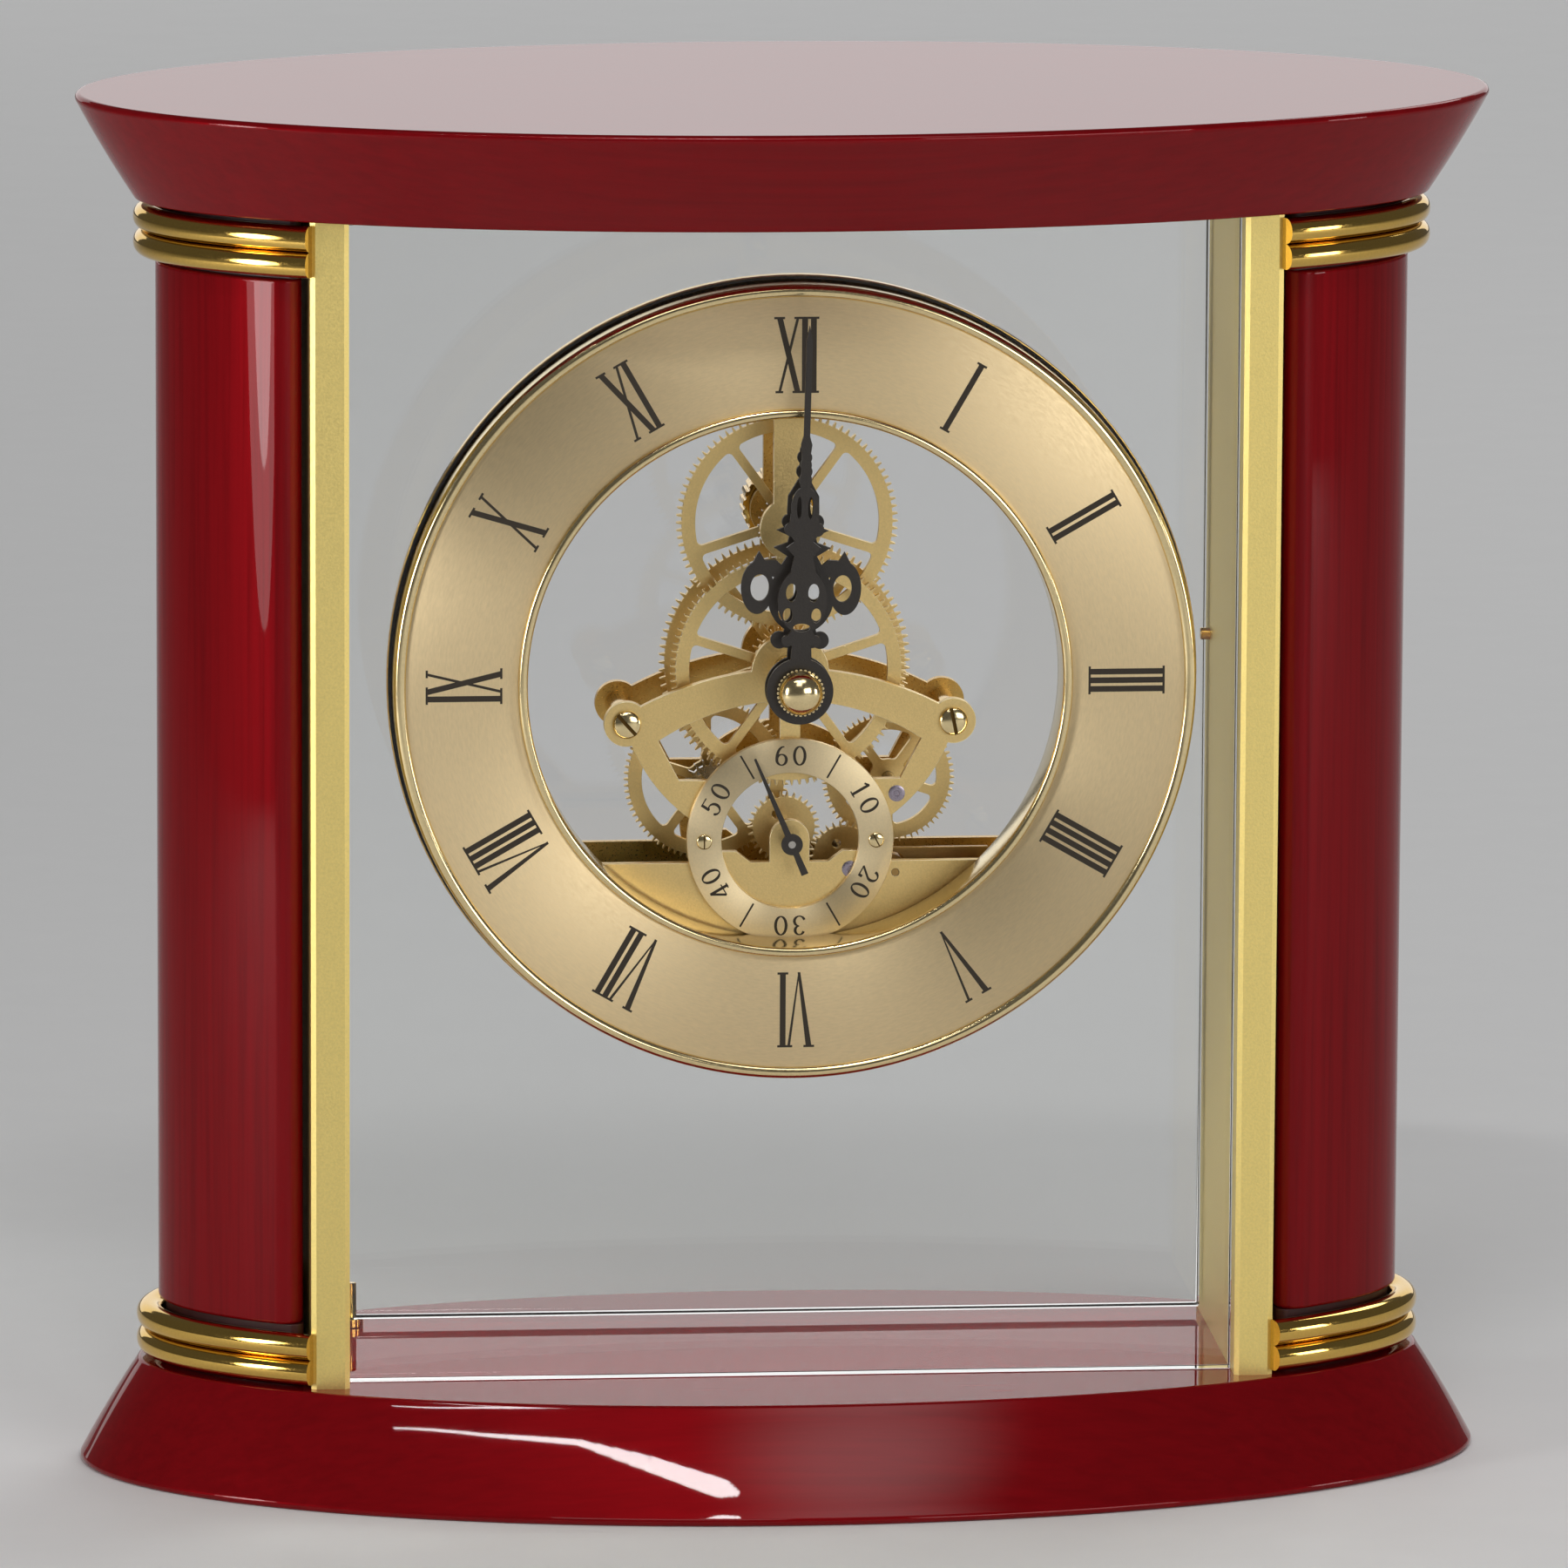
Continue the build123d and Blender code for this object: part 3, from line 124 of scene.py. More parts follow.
def settle(piece, slot, *nodes, body=None):
    """Ride the piece on its body and let it stand for its CAD nodes. The slot is not used."""
    body = body or home[nodes[0]]
    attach(piece, body)
    if nodes:
        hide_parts(*nodes)
    print(piece.name, len(piece.data.polygons), "faces, on", body)
    return piece


# %% Skins
def skin(rows, loop=False):
    """A mesh through rows of points that each go once round; a row of one point is a pole."""
    bm = bmesh.new()
    rings = [[bm.verts.new(point) for point in row] for row in rows]
    following = rings[1:] + rings[:1] if loop else rings[1:]
    for low, high in zip(rings, following):
        for k in range(max(len(low), len(high))):
            near = low[k % len(low)], low[(k + 1) % len(low)]
            far = high[(k + 1) % len(high)], high[k % len(high)]
            bm.faces.new(list(dict.fromkeys((*near, *far))))
    bmesh.ops.recalc_face_normals(bm, faces=bm.faces)
    return bm

# %% [markdown]
# ## Helpers for finishes
# Every finish is a Principled shader with noise on Object coordinates behind its colour, its roughness or
# its surface, because even a polished metal is never the same all over. An image could do this too, but
# noise needs no unwrapping and never repeats. Colours are written as they look on a screen and turned into
# linear light.

# %% Colours
def tint(red, green, blue):
    """A colour as it looks on a screen, 0 to 255, as linear light."""
    linear = [((c / 255 + 0.055) / 1.055) ** 2.4 if c > 10 else c / 255 / 12.92 for c in (red, green, blue)]
    return (*linear, 1.0)


def darker(colour, share):
    """The colour at a share of its light."""
    return (*[c * share for c in colour[:3]], 1.0)


# %% Finish helpers
noise_low, noise_high = 0.3, 0.7


class Finish:
    """A Principled material with short ways to add noise on Object coordinates."""

    def __init__(self, name, **sockets):
        self.material = bpy.data.materials.new(name)
        self.material.use_nodes = True
        self.nodes = self.material.node_tree.nodes
        self.links = self.material.node_tree.links
        self.shader = self.nodes["Principled BSDF"]
        for socket, value in sockets.items():
            self.shader.inputs[socket.replace("_", " ")].default_value = value

    def add(self, kind, **values):
        """A node with its own settings."""
        node = self.nodes.new(kind)
        for name, value in values.items():
            setattr(node, name, value)
        return node

    def noise(self, stretch, detail=3.0, roughness=0.55, distortion=0.0):
        """Noise whose scale along X, Y and Z is given per metre."""
        where = self.add("ShaderNodeTexCoord")
        mapping = self.add("ShaderNodeMapping")
        mapping.inputs["Scale"].default_value = stretch
        texture = self.add("ShaderNodeTexNoise")
        settings = {"Scale": 1.0, "Detail": detail, "Roughness": roughness, "Distortion": distortion}
        for socket, value in settings.items():
            texture.inputs[socket].default_value = value
        self.links.new(where.outputs["Object"], mapping.inputs["Vector"])
        self.links.new(mapping.outputs["Vector"], texture.inputs["Vector"])
        return texture.outputs["Fac"]

    def ramp(self, factor, *stops):
        """Colours along a factor, as (place, colour) stops."""
        node = self.add("ShaderNodeValToRGB")
        elements = node.color_ramp.elements
        while len(elements) < len(stops):
            elements.new(0.5)
        for element, (place, colour) in zip(elements, stops):
            element.position = place
            element.color = colour
        self.links.new(factor, node.inputs["Fac"])
        return node.outputs["Color"]

    def span(self, factor, low, high):
        """The middle of a noise's range, stretched to run from low to high."""
        node = self.add("ShaderNodeMapRange")
        settings = {"From Min": noise_low, "From Max": noise_high, "To Min": low, "To Max": high}
        for socket, value in settings.items():
            node.inputs[socket].default_value = value
        self.links.new(factor, node.inputs["Value"])
        return node.outputs["Result"]

    def feed(self, socket, output):
        """Lead an output into the shader."""
        self.links.new(output, self.shader.inputs[socket])

    def vector(self, operation, first, second=None):
        """Vector maths on an output and a constant, which is the factor where a vector is scaled."""
        node = self.add("ShaderNodeVectorMath", operation=operation)
        self.links.new(first, node.inputs[0])
        if second is not None:
            node.inputs["Scale" if operation == "SCALE" else 1].default_value = second
        return node.outputs["Value" if operation == "LENGTH" else "Vector"]

    def wander(self, factor, colour, shade, smooth, rough):
        """Let the colour wander down to a shade of itself, and the roughness between two values."""
        self.feed("Base Color", self.ramp(factor, (noise_low, darker(colour, shade)), (noise_high, colour)))
        self.feed("Roughness", self.span(factor, smooth, rough))

    def bump(self, height, distance, strength=1.0):
        """Raise and sink the surface by a distance in metres."""
        node = self.add("ShaderNodeBump")
        node.inputs["Distance"].default_value = distance
        node.inputs["Strength"].default_value = strength
        self.links.new(height, node.inputs["Height"])
        self.feed("Normal", node.outputs["Normal"])

# %% [markdown]
# ## Lacquer
# The wood is stained a deep red under a thick clear lacquer. Long soft noise along the grain gives the
# stain its streaks and a coat layer on top of a rough base gives the mirror-like skin. Polished grain
# glints through the lacquer in its own red, so the base is made a little metallic instead of glossy. The
# columns' grain runs up and the slabs' grain runs across, so there is one lacquer for each.

# %% Red lacquer
lacquer_red = (0.195, 0.0022, 0.0046, 1.0)


def red_lacquer(name, stretch, shade, coat):
    """Stained wood under lacquer; shade is how dark the grain is and coat how thick the lacquer."""
    finish = Finish(
        name, Roughness=0.34, Metallic=0.2, Specular_IOR_Level=0.0, Specular_Tint=(1.0, 0.1, 0.05, 1.0),
        Coat_Weight=coat, Coat_Roughness=0.02, Coat_IOR=1.27)
    grain = finish.noise(stretch, detail=5.0, roughness=0.6, distortion=0.4)
    stops = ((0.32, darker(lacquer_red, shade)), (0.52, lacquer_red), (0.72, darker(lacquer_red, 1.1)))
    finish.feed("Base Color", finish.ramp(grain, *stops))
    return finish.material


column_lacquer = red_lacquer("column_lacquer", (900.0, 900.0, 16.0), 0.76, 0.8)
slab_lacquer = red_lacquer("slab_lacquer", (16.0, 700.0, 700.0), 0.88, 1.0)
print("lacquers:", column_lacquer.name, slab_lacquer.name)

# %% [markdown]
# ## Metals
# The clock shows gilt metal in four states: mirror-polished rings and bezels, satin bars and plates with
# a fine grain, polished cut edges, which are painted near white as a highlight, and the dial, which is
# brushed in circles. Brushing scatters light across the scratches, so the dial is anisotropic, with a
# tangent that runs out from its centre.

# %% Metals
def metal(name, colour, roughness, spread, speckle, depth=0.0):
    """A metal whose roughness wanders by spread, with a grain of speckle per metre and depth in metres."""
    finish = Finish(name, Metallic=1.0)
    grain = finish.noise((speckle,) * 3, detail=2.0)
    finish.wander(grain, colour, shade=0.9, smooth=roughness - spread, rough=roughness + spread)
    if depth:
        finish.bump(grain, depth)
    return finish.material


polished_brass = metal("polished_brass", tint(224, 184, 96), 0.08, 0.03, 2500.0)
# The cut edges are painted a near-white cream: a painted highlight for the bright glint on a polished edge.
edge_painted_highlight = metal("polished_edge_painted_highlight", tint(255, 240, 198), 0.36, 0.06, 3000.0)
bezel_gold = metal("bezel_gold", tint(240, 218, 166), 0.15, 0.03, 2500.0)
plate_back = metal("plate_back", tint(214, 176, 102), 0.3, 0.05, 2500.0)
# The floor of a screw's slot is painted dark brown, a painted shade for the shadow in the slot.
slot_painted_shade = metal("slot_painted_shade", tint(96, 72, 36), 0.4, 0.05, 2500.0)
satin_brass = metal("satin_brass", tint(250, 226, 142), 0.46, 0.06, 2600.0, 0.02 * mm)
movement_gold = metal("movement_gold", tint(238, 208, 142), 0.38, 0.06, 3200.0, 0.02 * mm)
steel = metal("steel", tint(196, 190, 182), 0.24, 0.05, 3500.0)
yellow_steel = metal("yellow_steel", tint(176, 142, 88), 0.36, 0.05, 3500.0)
bushing_steel = metal("bushing_steel", tint(168, 158, 170), 0.3, 0.05, 3500.0)
copper_wire = metal("copper_wire", tint(198, 120, 74), 0.28, 0.05, 3000.0)
print(len(bpy.data.materials), "materials, with those of the frame")


# %% Turned metal
def turned_tube():
    """The dial's lining: polished on a lathe, with turning marks that run round it."""
    finish = Finish("turned_tube", Metallic=1.0)
    marks = finish.noise((25.0, 3600.0, 25.0))
    stops = ((0.32, tint(120, 88, 36)), (0.5, tint(214, 178, 96)), (0.68, tint(244, 220, 142)))
    finish.feed("Base Color", finish.ramp(marks, *stops))
    finish.feed("Roughness", finish.span(marks, 0.56, 0.44))
    finish.bump(marks, 0.06 * mm)
    return finish.material


tube_gold = turned_tube()
print("turned:", tube_gold.name)

# %% Brushed metal
brush_bands, brush_stroke = 3600.0, 45.0
brush_depth = 0.008 * mm


def brushed_ring(name, colour, centre):
    """Metal brushed in circles about an axis along Y through centre."""
    finish = Finish(name, Metallic=1.0, Anisotropic=0.86)
    where = finish.add("ShaderNodeTexCoord").outputs["Object"]
    arm = finish.vector("MULTIPLY", finish.vector("SUBTRACT", where, centre), (1.0, 0.0, 1.0))
    direction = finish.vector("NORMALIZE", arm)
    finish.feed("Tangent", direction)
    bands = finish.add("ShaderNodeMath", operation="MULTIPLY")
    bands.inputs[1].default_value = brush_bands
    finish.links.new(finish.vector("LENGTH", arm), bands.inputs[0])
    scratches = finish.add("ShaderNodeTexNoise", noise_dimensions="4D")
    scratches.inputs["Scale"].default_value = 1.0
    scratches.inputs["Detail"].default_value = 4.0
    finish.links.new(finish.vector("SCALE", direction, brush_stroke), scratches.inputs["Vector"])
    finish.links.new(bands.outputs["Value"], scratches.inputs["W"])
    fac = scratches.outputs["Fac"]
    finish.wander(fac, colour, shade=0.9, smooth=0.4, rough=0.5)
    finish.bump(fac, brush_depth, strength=0.5)
    return finish.material


dial_gold = brushed_ring("dial_gold", tint(240, 216, 170), (0.0, 0.0, dial_z))
sub_dial_gold = brushed_ring("sub_dial_gold", tint(236, 216, 174), axes["seconds_turn"])
print("brushed:", dial_gold.name, sub_dial_gold.name)

# %% [markdown]
# ## Glass, blacks and the hidden materials
# The panes are clear glass. A plain glass shader throws dark shadows, so shadow rays are let through by a
# mix on the Light Path node. The hands are black-brown, and the pieces behind the dial's lower half are
# plastic, copper wire, a board and a wrapped battery. The base stands on felt.

# %% Glass
def clear_glass():
    """Glass that lets light through to what stands behind it."""
    finish = Finish("clear_glass", Roughness=0.0, IOR=1.46, Transmission_Weight=1.0,
                    Base_Color=(0.985, 0.992, 0.988, 1.0))
    path = finish.add("ShaderNodeLightPath")
    clear = finish.add("ShaderNodeBsdfTransparent")
    clear.inputs["Color"].default_value = (0.95, 0.97, 0.96, 1.0)
    mix = finish.add("ShaderNodeMixShader")
    finish.links.new(path.outputs["Is Shadow Ray"], mix.inputs["Fac"])
    finish.links.new(finish.shader.outputs["BSDF"], mix.inputs[1])
    finish.links.new(clear.outputs["BSDF"], mix.inputs[2])
    finish.links.new(mix.outputs["Shader"], finish.nodes["Material Output"].inputs["Surface"])
    return finish.material


glass = clear_glass()
print("glass:", glass.name)

# %% Paint, plastic, felt and print
mottle_spread = 0.06


def mottled(name, colour, roughness, speckle, depth, contrast=0.75, **sockets):
    """Paint, plastic, felt or print: one colour that wanders a little, with a fine surface."""
    finish = Finish(name, **sockets)
    grain = finish.noise((speckle,) * 3, detail=4.0)
    finish.wander(grain, colour, contrast, roughness - mottle_spread, roughness + mottle_spread)
    finish.bump(grain, depth)
    return finish.material


ground_edge = mottled("ground_glass_edge", tint(238, 240, 236), 0.6, 3000.0, 0.02 * mm, 0.9)
hand_black = mottled("hand_black", tint(44, 38, 32), 0.42, 3200.0, 0.02 * mm, 0.7)
print_black = mottled("print_black", tint(46, 36, 22), 0.7, 4000.0, 0.005 * mm, 0.8)
dark_wood = mottled("dark_wood", tint(62, 12, 12), 0.5, 600.0, 0.05 * mm, 0.6)
felt = mottled("felt", tint(34, 30, 30), 0.95, 2600.0, 0.2 * mm, 0.55, Sheen_Weight=0.4)
gold_plastic = mottled("gold_plastic", tint(150, 122, 62), 0.45, 900.0, 0.03 * mm, 0.85)
black_plastic = mottled("black_plastic", tint(30, 30, 32), 0.45, 1200.0, 0.03 * mm, 0.8)
cell_wrap = mottled("cell_wrap", tint(40, 62, 96), 0.3, 500.0, 0.01 * mm, 0.85)
board_green = mottled("board_green", tint(38, 82, 52), 0.4, 900.0, 0.02 * mm, 0.75)
print(len(bpy.data.materials), "materials, with those of the frame")

# %% [markdown]
# ## Base and cap
# Both slabs are ellipses that lean inwards over their height, with a soft edge at each rim. A stretched
# cone would lean by the same share all round, but here the lean along X is not the lean along Y, so two
# profiles are drawn and each point of a row blends between them. A close row beside each rounding keeps
# the flat faces flat under smooth shading, and the slope swells by a hair, as sanded wood does, so that a
# lamp's reflection runs across it as a curved streak.

# %% Outlines with round corners
def rounded(points, radii, steps=5, closed=False):
    """The polyline with the corners that have a radius replaced by arcs."""
    result = []
    count = len(points)
    for k, (point, radius) in enumerate(zip(points, radii)):
        corner = Vector(point)
        if radius <= 0 or (not closed and k in (0, count - 1)):
            result.append(tuple(corner))
            continue
        before = (Vector(points[k - 1]) - corner).normalized()
        after = (Vector(points[(k + 1) % count]) - corner).normalized()
        half = before.angle(after) / 2
        centre = corner + (before + after).normalized() * (radius / math.sin(half))
        start = corner + before * (radius / math.tan(half)) - centre
        end = corner + after * (radius / math.tan(half)) - centre
        sweep = start.angle_signed(end)
        for step in range(steps + 1):
            spoke = start.copy()
            spoke.rotate(Matrix.Rotation(-sweep * step / steps, 2))
            result.append(tuple(centre + spoke))
    return result


def circle(radius, at=(0.0, 0.0), steps=96):
    """Points round a circle, counter-clockwise."""
    turns = [2 * math.pi * k / steps for k in range(steps)]
    return [(at[0] + radius * math.cos(a), at[1] + radius * math.sin(a)) for a in turns]


# %% Profile of a slab
slab_round = 0.8 * mm
slab_lean = (10.2 * mm, 12.9 * mm)
slab_wide = (115.5 * mm, 57.1 * mm)
slab_swell = 0.25 * mm
slab_rows = 10
slab_steps = 288
support = 0.15 * mm
long_run = 4 * support


def with_supports(outline):
    """Add points close to the rim ends of every long run, so that smooth shading stays in the roundings."""
    result = [outline[0]]
    for start, end in zip(outline, outline[1:]):
        run = Vector(end) - Vector(start)
        if run.length > long_run:
            step = run.normalized() * support
            near_ends = (Vector(start) + step, start[0]), (Vector(end) - step, end[0])
            result += [tuple(point) for point, reach in near_ends if reach > 0]
        result.append(end)
    return result


def slab_profile(wide, lean, wide_z, narrow_z):
    """Half outline from the middle of the wide face to the middle of the narrow one."""
    corners = [(0.0, wide_z), (wide, wide_z), (wide - lean, narrow_z), (0.0, narrow_z)]
    outline = with_supports(rounded(corners, [0, slab_round, slab_round, 0], steps=7))
    rises = [abs(b[1] - a[1]) for a, b in zip(outline, outline[1:])]
    slope = rises.index(max(rises))
    start, end = Vector(outline[slope]), Vector(outline[slope + 1])
    swollen = []
    for k in range(1, slab_rows):
        share = k / slab_rows
        swell = Vector((4 * slab_swell * share * (1 - share), 0.0))
        swollen.append(tuple(start.lerp(end, share) + swell))
    return outline[: slope + 1] + swollen + outline[slope + 1 :]


# %% Base and cap
def slab(name, node, wide_z, narrow_z):
    """The base or the cap, from the height of its wide face to that of its narrow one."""
    profiles = [slab_profile(wide, lean, wide_z, narrow_z) for wide, lean in zip(slab_wide, slab_lean)]
    rows = []
    for (reach_x, height_x), (reach_y, height_y) in zip(*profiles):
        turns = circle(1.0, steps=slab_steps) if reach_x > 0 else [(1.0, 0.0)]
        rows.append([(reach_x * c, reach_y * s, height_x + (height_y - height_x) * s * s) for c, s in turns])
    piece = piece_from(name, skin(rows), slab_lacquer, sharp=60)
    return settle(piece, "red_lacquer", node)


base_low, base_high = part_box("base")
cap_low, cap_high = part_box("top_cap")
slab("lacquered_base", "base", base_low.z, base_high.z)
slab("lacquered_cap", "top_cap", cap_high.z, cap_low.z)

# %% [markdown]
# ## Columns
# A column is a slice of an ellipse with its two inner corners rounded, and its ends are slightly rounded
# over, as on a turned and lacquered piece. A cylinder cut in two would leave thin faces along the cut that
# spoil a mirror finish, so the slice is drawn as one outline and lofted from foot to head.

# %% Loft with rounded ends
def inset_outline(outline, inset):
    """Move every point of a closed outline inwards along its normal."""
    result = []
    for k, point in enumerate(outline):
        along = Vector(outline[(k + 1) % len(outline)]) - Vector(outline[k - 1])
        normal = Vector((-along.y, along.x)).normalized()
        result.append(tuple(Vector(point) + normal * inset))
    return result


def capped(bm, count):
    """Close a skin at both ends, whose rows have count points."""
    bm.verts.ensure_lookup_table()
    bm.faces.new(bm.verts[:count])
    bm.faces.new(bm.verts[-count:])
    bmesh.ops.recalc_face_normals(bm, faces=bm.faces)
    return bm


def prism(outline, low, high, end_round, steps=4):
    """Loft a counter-clockwise outline in (x, y) upwards, with rounded ends."""
    rows = []
    for z, way in ((low, 1), (high, -1)):
        rim = []
        for step in range(steps + 1):
            turn = math.pi / 2 * step / steps
            inset = end_round * (1 - math.sin(turn))
            rim.append((inset, z + way * end_round * (1 - math.cos(turn))))
        rim.append((0.0, z + way * (end_round + support)))
        rows += rim if way > 0 else reversed(rim)
    skins = [[(x, y, z) for x, y in inset_outline(outline, inset)] for inset, z in rows]
    return capped(skin(skins), len(outline))


# %% Arc of an ellipse
def oval_arc(reach, start_x, side, steps=72):
    """Points of an ellipse beyond start_x on one side, counter-clockwise seen from above."""
    limit = math.acos(start_x / reach[0])
    turns = [-limit + 2 * limit * k / steps for k in range(steps + 1)]
    points = [(reach[0] * math.cos(t), reach[1] * math.sin(t)) for t in turns]
    return points if side > 0 else [(-x, -y) for x, y in points]


# %% Columns
column_reach = (102.0 * mm, 40.9 * mm)
column_corner = 3.0 * mm
column_end_round = 0.5 * mm
corner_clear = 1.2 * column_corner
for side, side_name in ((-1, "left"), (1, "right")):
    low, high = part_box(f"{side_name}_column")
    inner_x = low.x if side > 0 else -high.x
    arc = oval_arc(column_reach, inner_x, side)
    clear = [p for p in arc if abs(p[0]) - inner_x > corner_clear]
    outline = [arc[0], *clear, arc[-1]]
    radii = [column_corner, *[0] * len(clear), column_corner]
    outline = rounded(outline, radii, steps=8, closed=True)
    column = piece_from(f"lacquered_{side_name}_column", prism(outline, low.z, high.z, column_end_round),
                        column_lacquer, sharp=50)
    settle(column, "red_lacquer", f"{side_name}_column")

# %% [markdown]
# ## Geometry Nodes helpers
# What repeats or follows a path is made by Geometry Nodes. A loop of copies would do as well, but a tree
# states its sizes as inputs and can be tried with others. It is built in the script, run on a small host
# mesh, and its result is turned into a plain mesh, so that nothing live is left.

# %% Geometry Nodes helpers
class Tree:
    """A Geometry Nodes tree with one geometry in, one out, and named inputs."""

    def __init__(self, name, **inputs):
        self.group = bpy.data.node_groups.new(name, "GeometryNodeTree")
        face = self.group.interface
        face.new_socket("Geometry", in_out="INPUT", socket_type="NodeSocketGeometry")
        face.new_socket("Geometry", in_out="OUTPUT", socket_type="NodeSocketGeometry")
        self.sockets = {}
        for label, kind in inputs.items():
            made = face.new_socket(label, in_out="INPUT", socket_type=f"NodeSocket{kind}")
            self.sockets[label] = made.identifier
        self.start = self.group.nodes.new("NodeGroupInput")
        self.end = self.group.nodes.new("NodeGroupOutput")

    def node(self, kind, links=(), out=0, **values):
        """Add a node and give one of its outputs; links are its inputs, from outputs or plain values."""
        made = self.group.nodes.new(kind)
        for name, value in values.items():
            setattr(made, name, value)
        for key, given in dict(links).items():
            for source in given if isinstance(given, list) else [given]:
                if hasattr(source, "is_output"):
                    self.group.links.new(source, made.inputs[key])
                else:
                    made.inputs[key].default_value = source
        return made.outputs[out]

    def given(self, label):
        """One of the tree's inputs."""
        return self.start.outputs[label]

    def close(self, geometry):
        """Realize the instances, set the material and end the tree."""
        real = self.node("GeometryNodeRealizeInstances", {"Geometry": geometry})
        coated = self.node("GeometryNodeSetMaterial", {"Geometry": real, "Material": self.given("Material")})
        self.group.links.new(coated, self.end.inputs["Geometry"])

    def place(self, shape, turned=False):
        """Put the shape on each host point, turned about Y by the point's turn if asked, and end the tree."""
        links = {"Points": self.given("Geometry"), "Instance": shape}
        if turned:
            turn = self.node("GeometryNodeInputNamedAttribute", {"Name": "turn"}, data_type="FLOAT")
            links["Rotation"] = self.node("ShaderNodeCombineXYZ", {"Y": turn})
        self.close(self.node("GeometryNodeInstanceOnPoints", links))

    def run(self, name, host_mesh, sharp=40.0, **values):
        """Run the tree on a host mesh and keep its result as a plain mesh."""
        host = bpy.data.objects.new("host", host_mesh)
        scene.collection.objects.link(host)
        modifier = host.modifiers.new("tree", "NODES")
        modifier.node_group = self.group
        for label, value in values.items():
            modifier[self.sockets[label]] = value
        graph = bpy.context.evaluated_depsgraph_get()
        mesh = bpy.data.meshes.new_from_object(host.evaluated_get(graph))
        host.modifiers.clear()
        bpy.data.objects.remove(host)
        return piece_of_mesh(name, mesh, values["Material"], sharp=sharp)


# %% Host points
def points_mesh(places, turns=None, path=False):
    """A host mesh of bare points, with a turn for each, or of a path through them."""
    edges = [(k, k + 1) for k in range(len(places) - 1)] if path else []
    mesh = bpy.data.meshes.new("points")
    mesh.from_pydata([tuple(p) for p in places], edges, [])
    if turns:
        attribute = mesh.attributes.new("turn", "FLOAT", "POINT")
        attribute.data.foreach_set("value", turns)
    return mesh

# %% [markdown]
# ## Rings of the columns
# Each ring is a pair of stacked beads that follows the ellipse from one side of the bar to the other. Two
# flattened rings could be cut to length, but a section that is swept along the arc keeps the same bead all
# the way. The section is a rectangle with rounded corners, and the sweep is repeated one bead higher.

# %% Tree of the beads
bead_height = 4.2 * mm
bead_round = 1.95 * mm
bead_depth = 4.4 * mm
ring_reach = (105.6 * mm, 44.5 * mm)

beads = Tree("stacked_beads", Height="Float", Depth="Float", Round="Float", Material="Material")
size = {"Width": beads.given("Depth"), "Height": beads.given("Height")}
oblong = beads.node("GeometryNodeCurvePrimitiveQuadrilateral", size)
fillet = {"Curve": oblong, "Radius": beads.given("Round"), "Count": 7, "Limit Radius": True}
soft = beads.node("GeometryNodeFilletCurve", fillet, mode="POLY")
path = beads.node("GeometryNodeMeshToCurve", {"Mesh": beads.given("Geometry")})
level = beads.node("GeometryNodeSetCurveNormal", {"Curve": path}, mode="Z_UP")
sweep = beads.node("GeometryNodeCurveToMesh", {"Curve": level, "Profile Curve": soft, "Fill Caps": True})
lift = beads.node("ShaderNodeCombineXYZ", {"Z": beads.given("Height")})
second = beads.node("GeometryNodeSetPosition", {"Geometry": sweep, "Offset": lift})
beads.close(beads.node("GeometryNodeJoinGeometry", {"Geometry": [sweep, second]}))

# %% Rings
bead_line = [reach - bead_depth / 2 for reach in ring_reach]
for side, side_name in ((-1, "left"), (1, "right")):
    for level_name in ("lower", "upper"):
        node = f"{level_name}_{side_name}_ring"
        low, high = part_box(node)
        start_x = low.x if side > 0 else -high.x
        height = low.z + bead_height / 2
        arc = [(x, y, height) for x, y in oval_arc(bead_line, start_x, side, steps=96)]
        ring = beads.run(f"brass_{node}", points_mesh(arc, path=True), sharp=60,
                         Height=bead_height, Depth=bead_depth, Round=bead_round, Material=polished_brass)
        settle(ring, "polished_brass", node)

# %% [markdown]
# ## Bars beside the panes
# The two bars are satin on their faces and polished on the chamfers that run up their corners, and the
# chamfers are painted near white as a highlight, so each chamfer draws a bright line. A bevel would cut
# the corners half way; these are cut flatter, so the outline is written out, and its slanted sides take
# the second material.

# %% Bars
bar_chamfer = Vector((0.8 * mm, 0.5 * mm))


def bar(name, node):
    """A square bar from the base to the cap with its four long corners cut off."""
    low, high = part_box(node)
    corners = [(low.x, low.y), (high.x, low.y), (high.x, high.y), (low.x, high.y)]
    outline = []
    for k, corner in enumerate(corners):
        for other in (corners[k - 1], corners[(k + 1) % 4]):
            way = (Vector(other) - Vector(corner)).normalized()
            outline.append(tuple(Vector(corner) + way * abs(way.dot(bar_chamfer))))
    bm = skin([[(x, y, z) for x, y in outline] for z in (base_high.z, cap_low.z)])
    for face in bm.faces:
        # The slanted chamfers take the cut edges' near-white paint, a painted highlight.
        face.material_index = 1 if min(abs(face.normal.x), abs(face.normal.y)) > 0.1 else 0
    capped(bm, len(outline))
    return settle(piece_from(name, bm, satin_brass, edge_painted_highlight, sharp=20), "satin_brass", node)


bar("satin_left_bar", "left_upright")
bar("satin_right_bar", "right_upright")

# %% [markdown]
# ## Panes
# The front pane has a round hole that the dial's carrier fills, and the rear pane is a plain door. Their
# long edges are ground to a fine chamfer, and the edge they stand on is left rough and white, with a
# ground strip along the front of it that shows as a white line. A Boolean could cut the hole, but slivers
# show in glass, so the sheet is triangulated as a whole from its outlines. Overlapping outlines melt into
# one, which is of use later for the strokes of letters.

# %% Flat plates
def flat_faces(outlines, holes=()):
    """Triangles that cover the outlines, melted together, without the holes: points and corner lists."""
    points, faces = [], []
    for outline in [*outlines, *holes]:
        faces.append(list(range(len(points), len(points) + len(outline))))
        points.extend(Vector(p) for p in outline)
    made = delaunay_2d_cdt(points, [], faces, 1, 1e-9)
    kept = [face for face, origins in zip(made[2], made[5]) if origins and max(origins) < len(outlines)]
    return made[0], kept


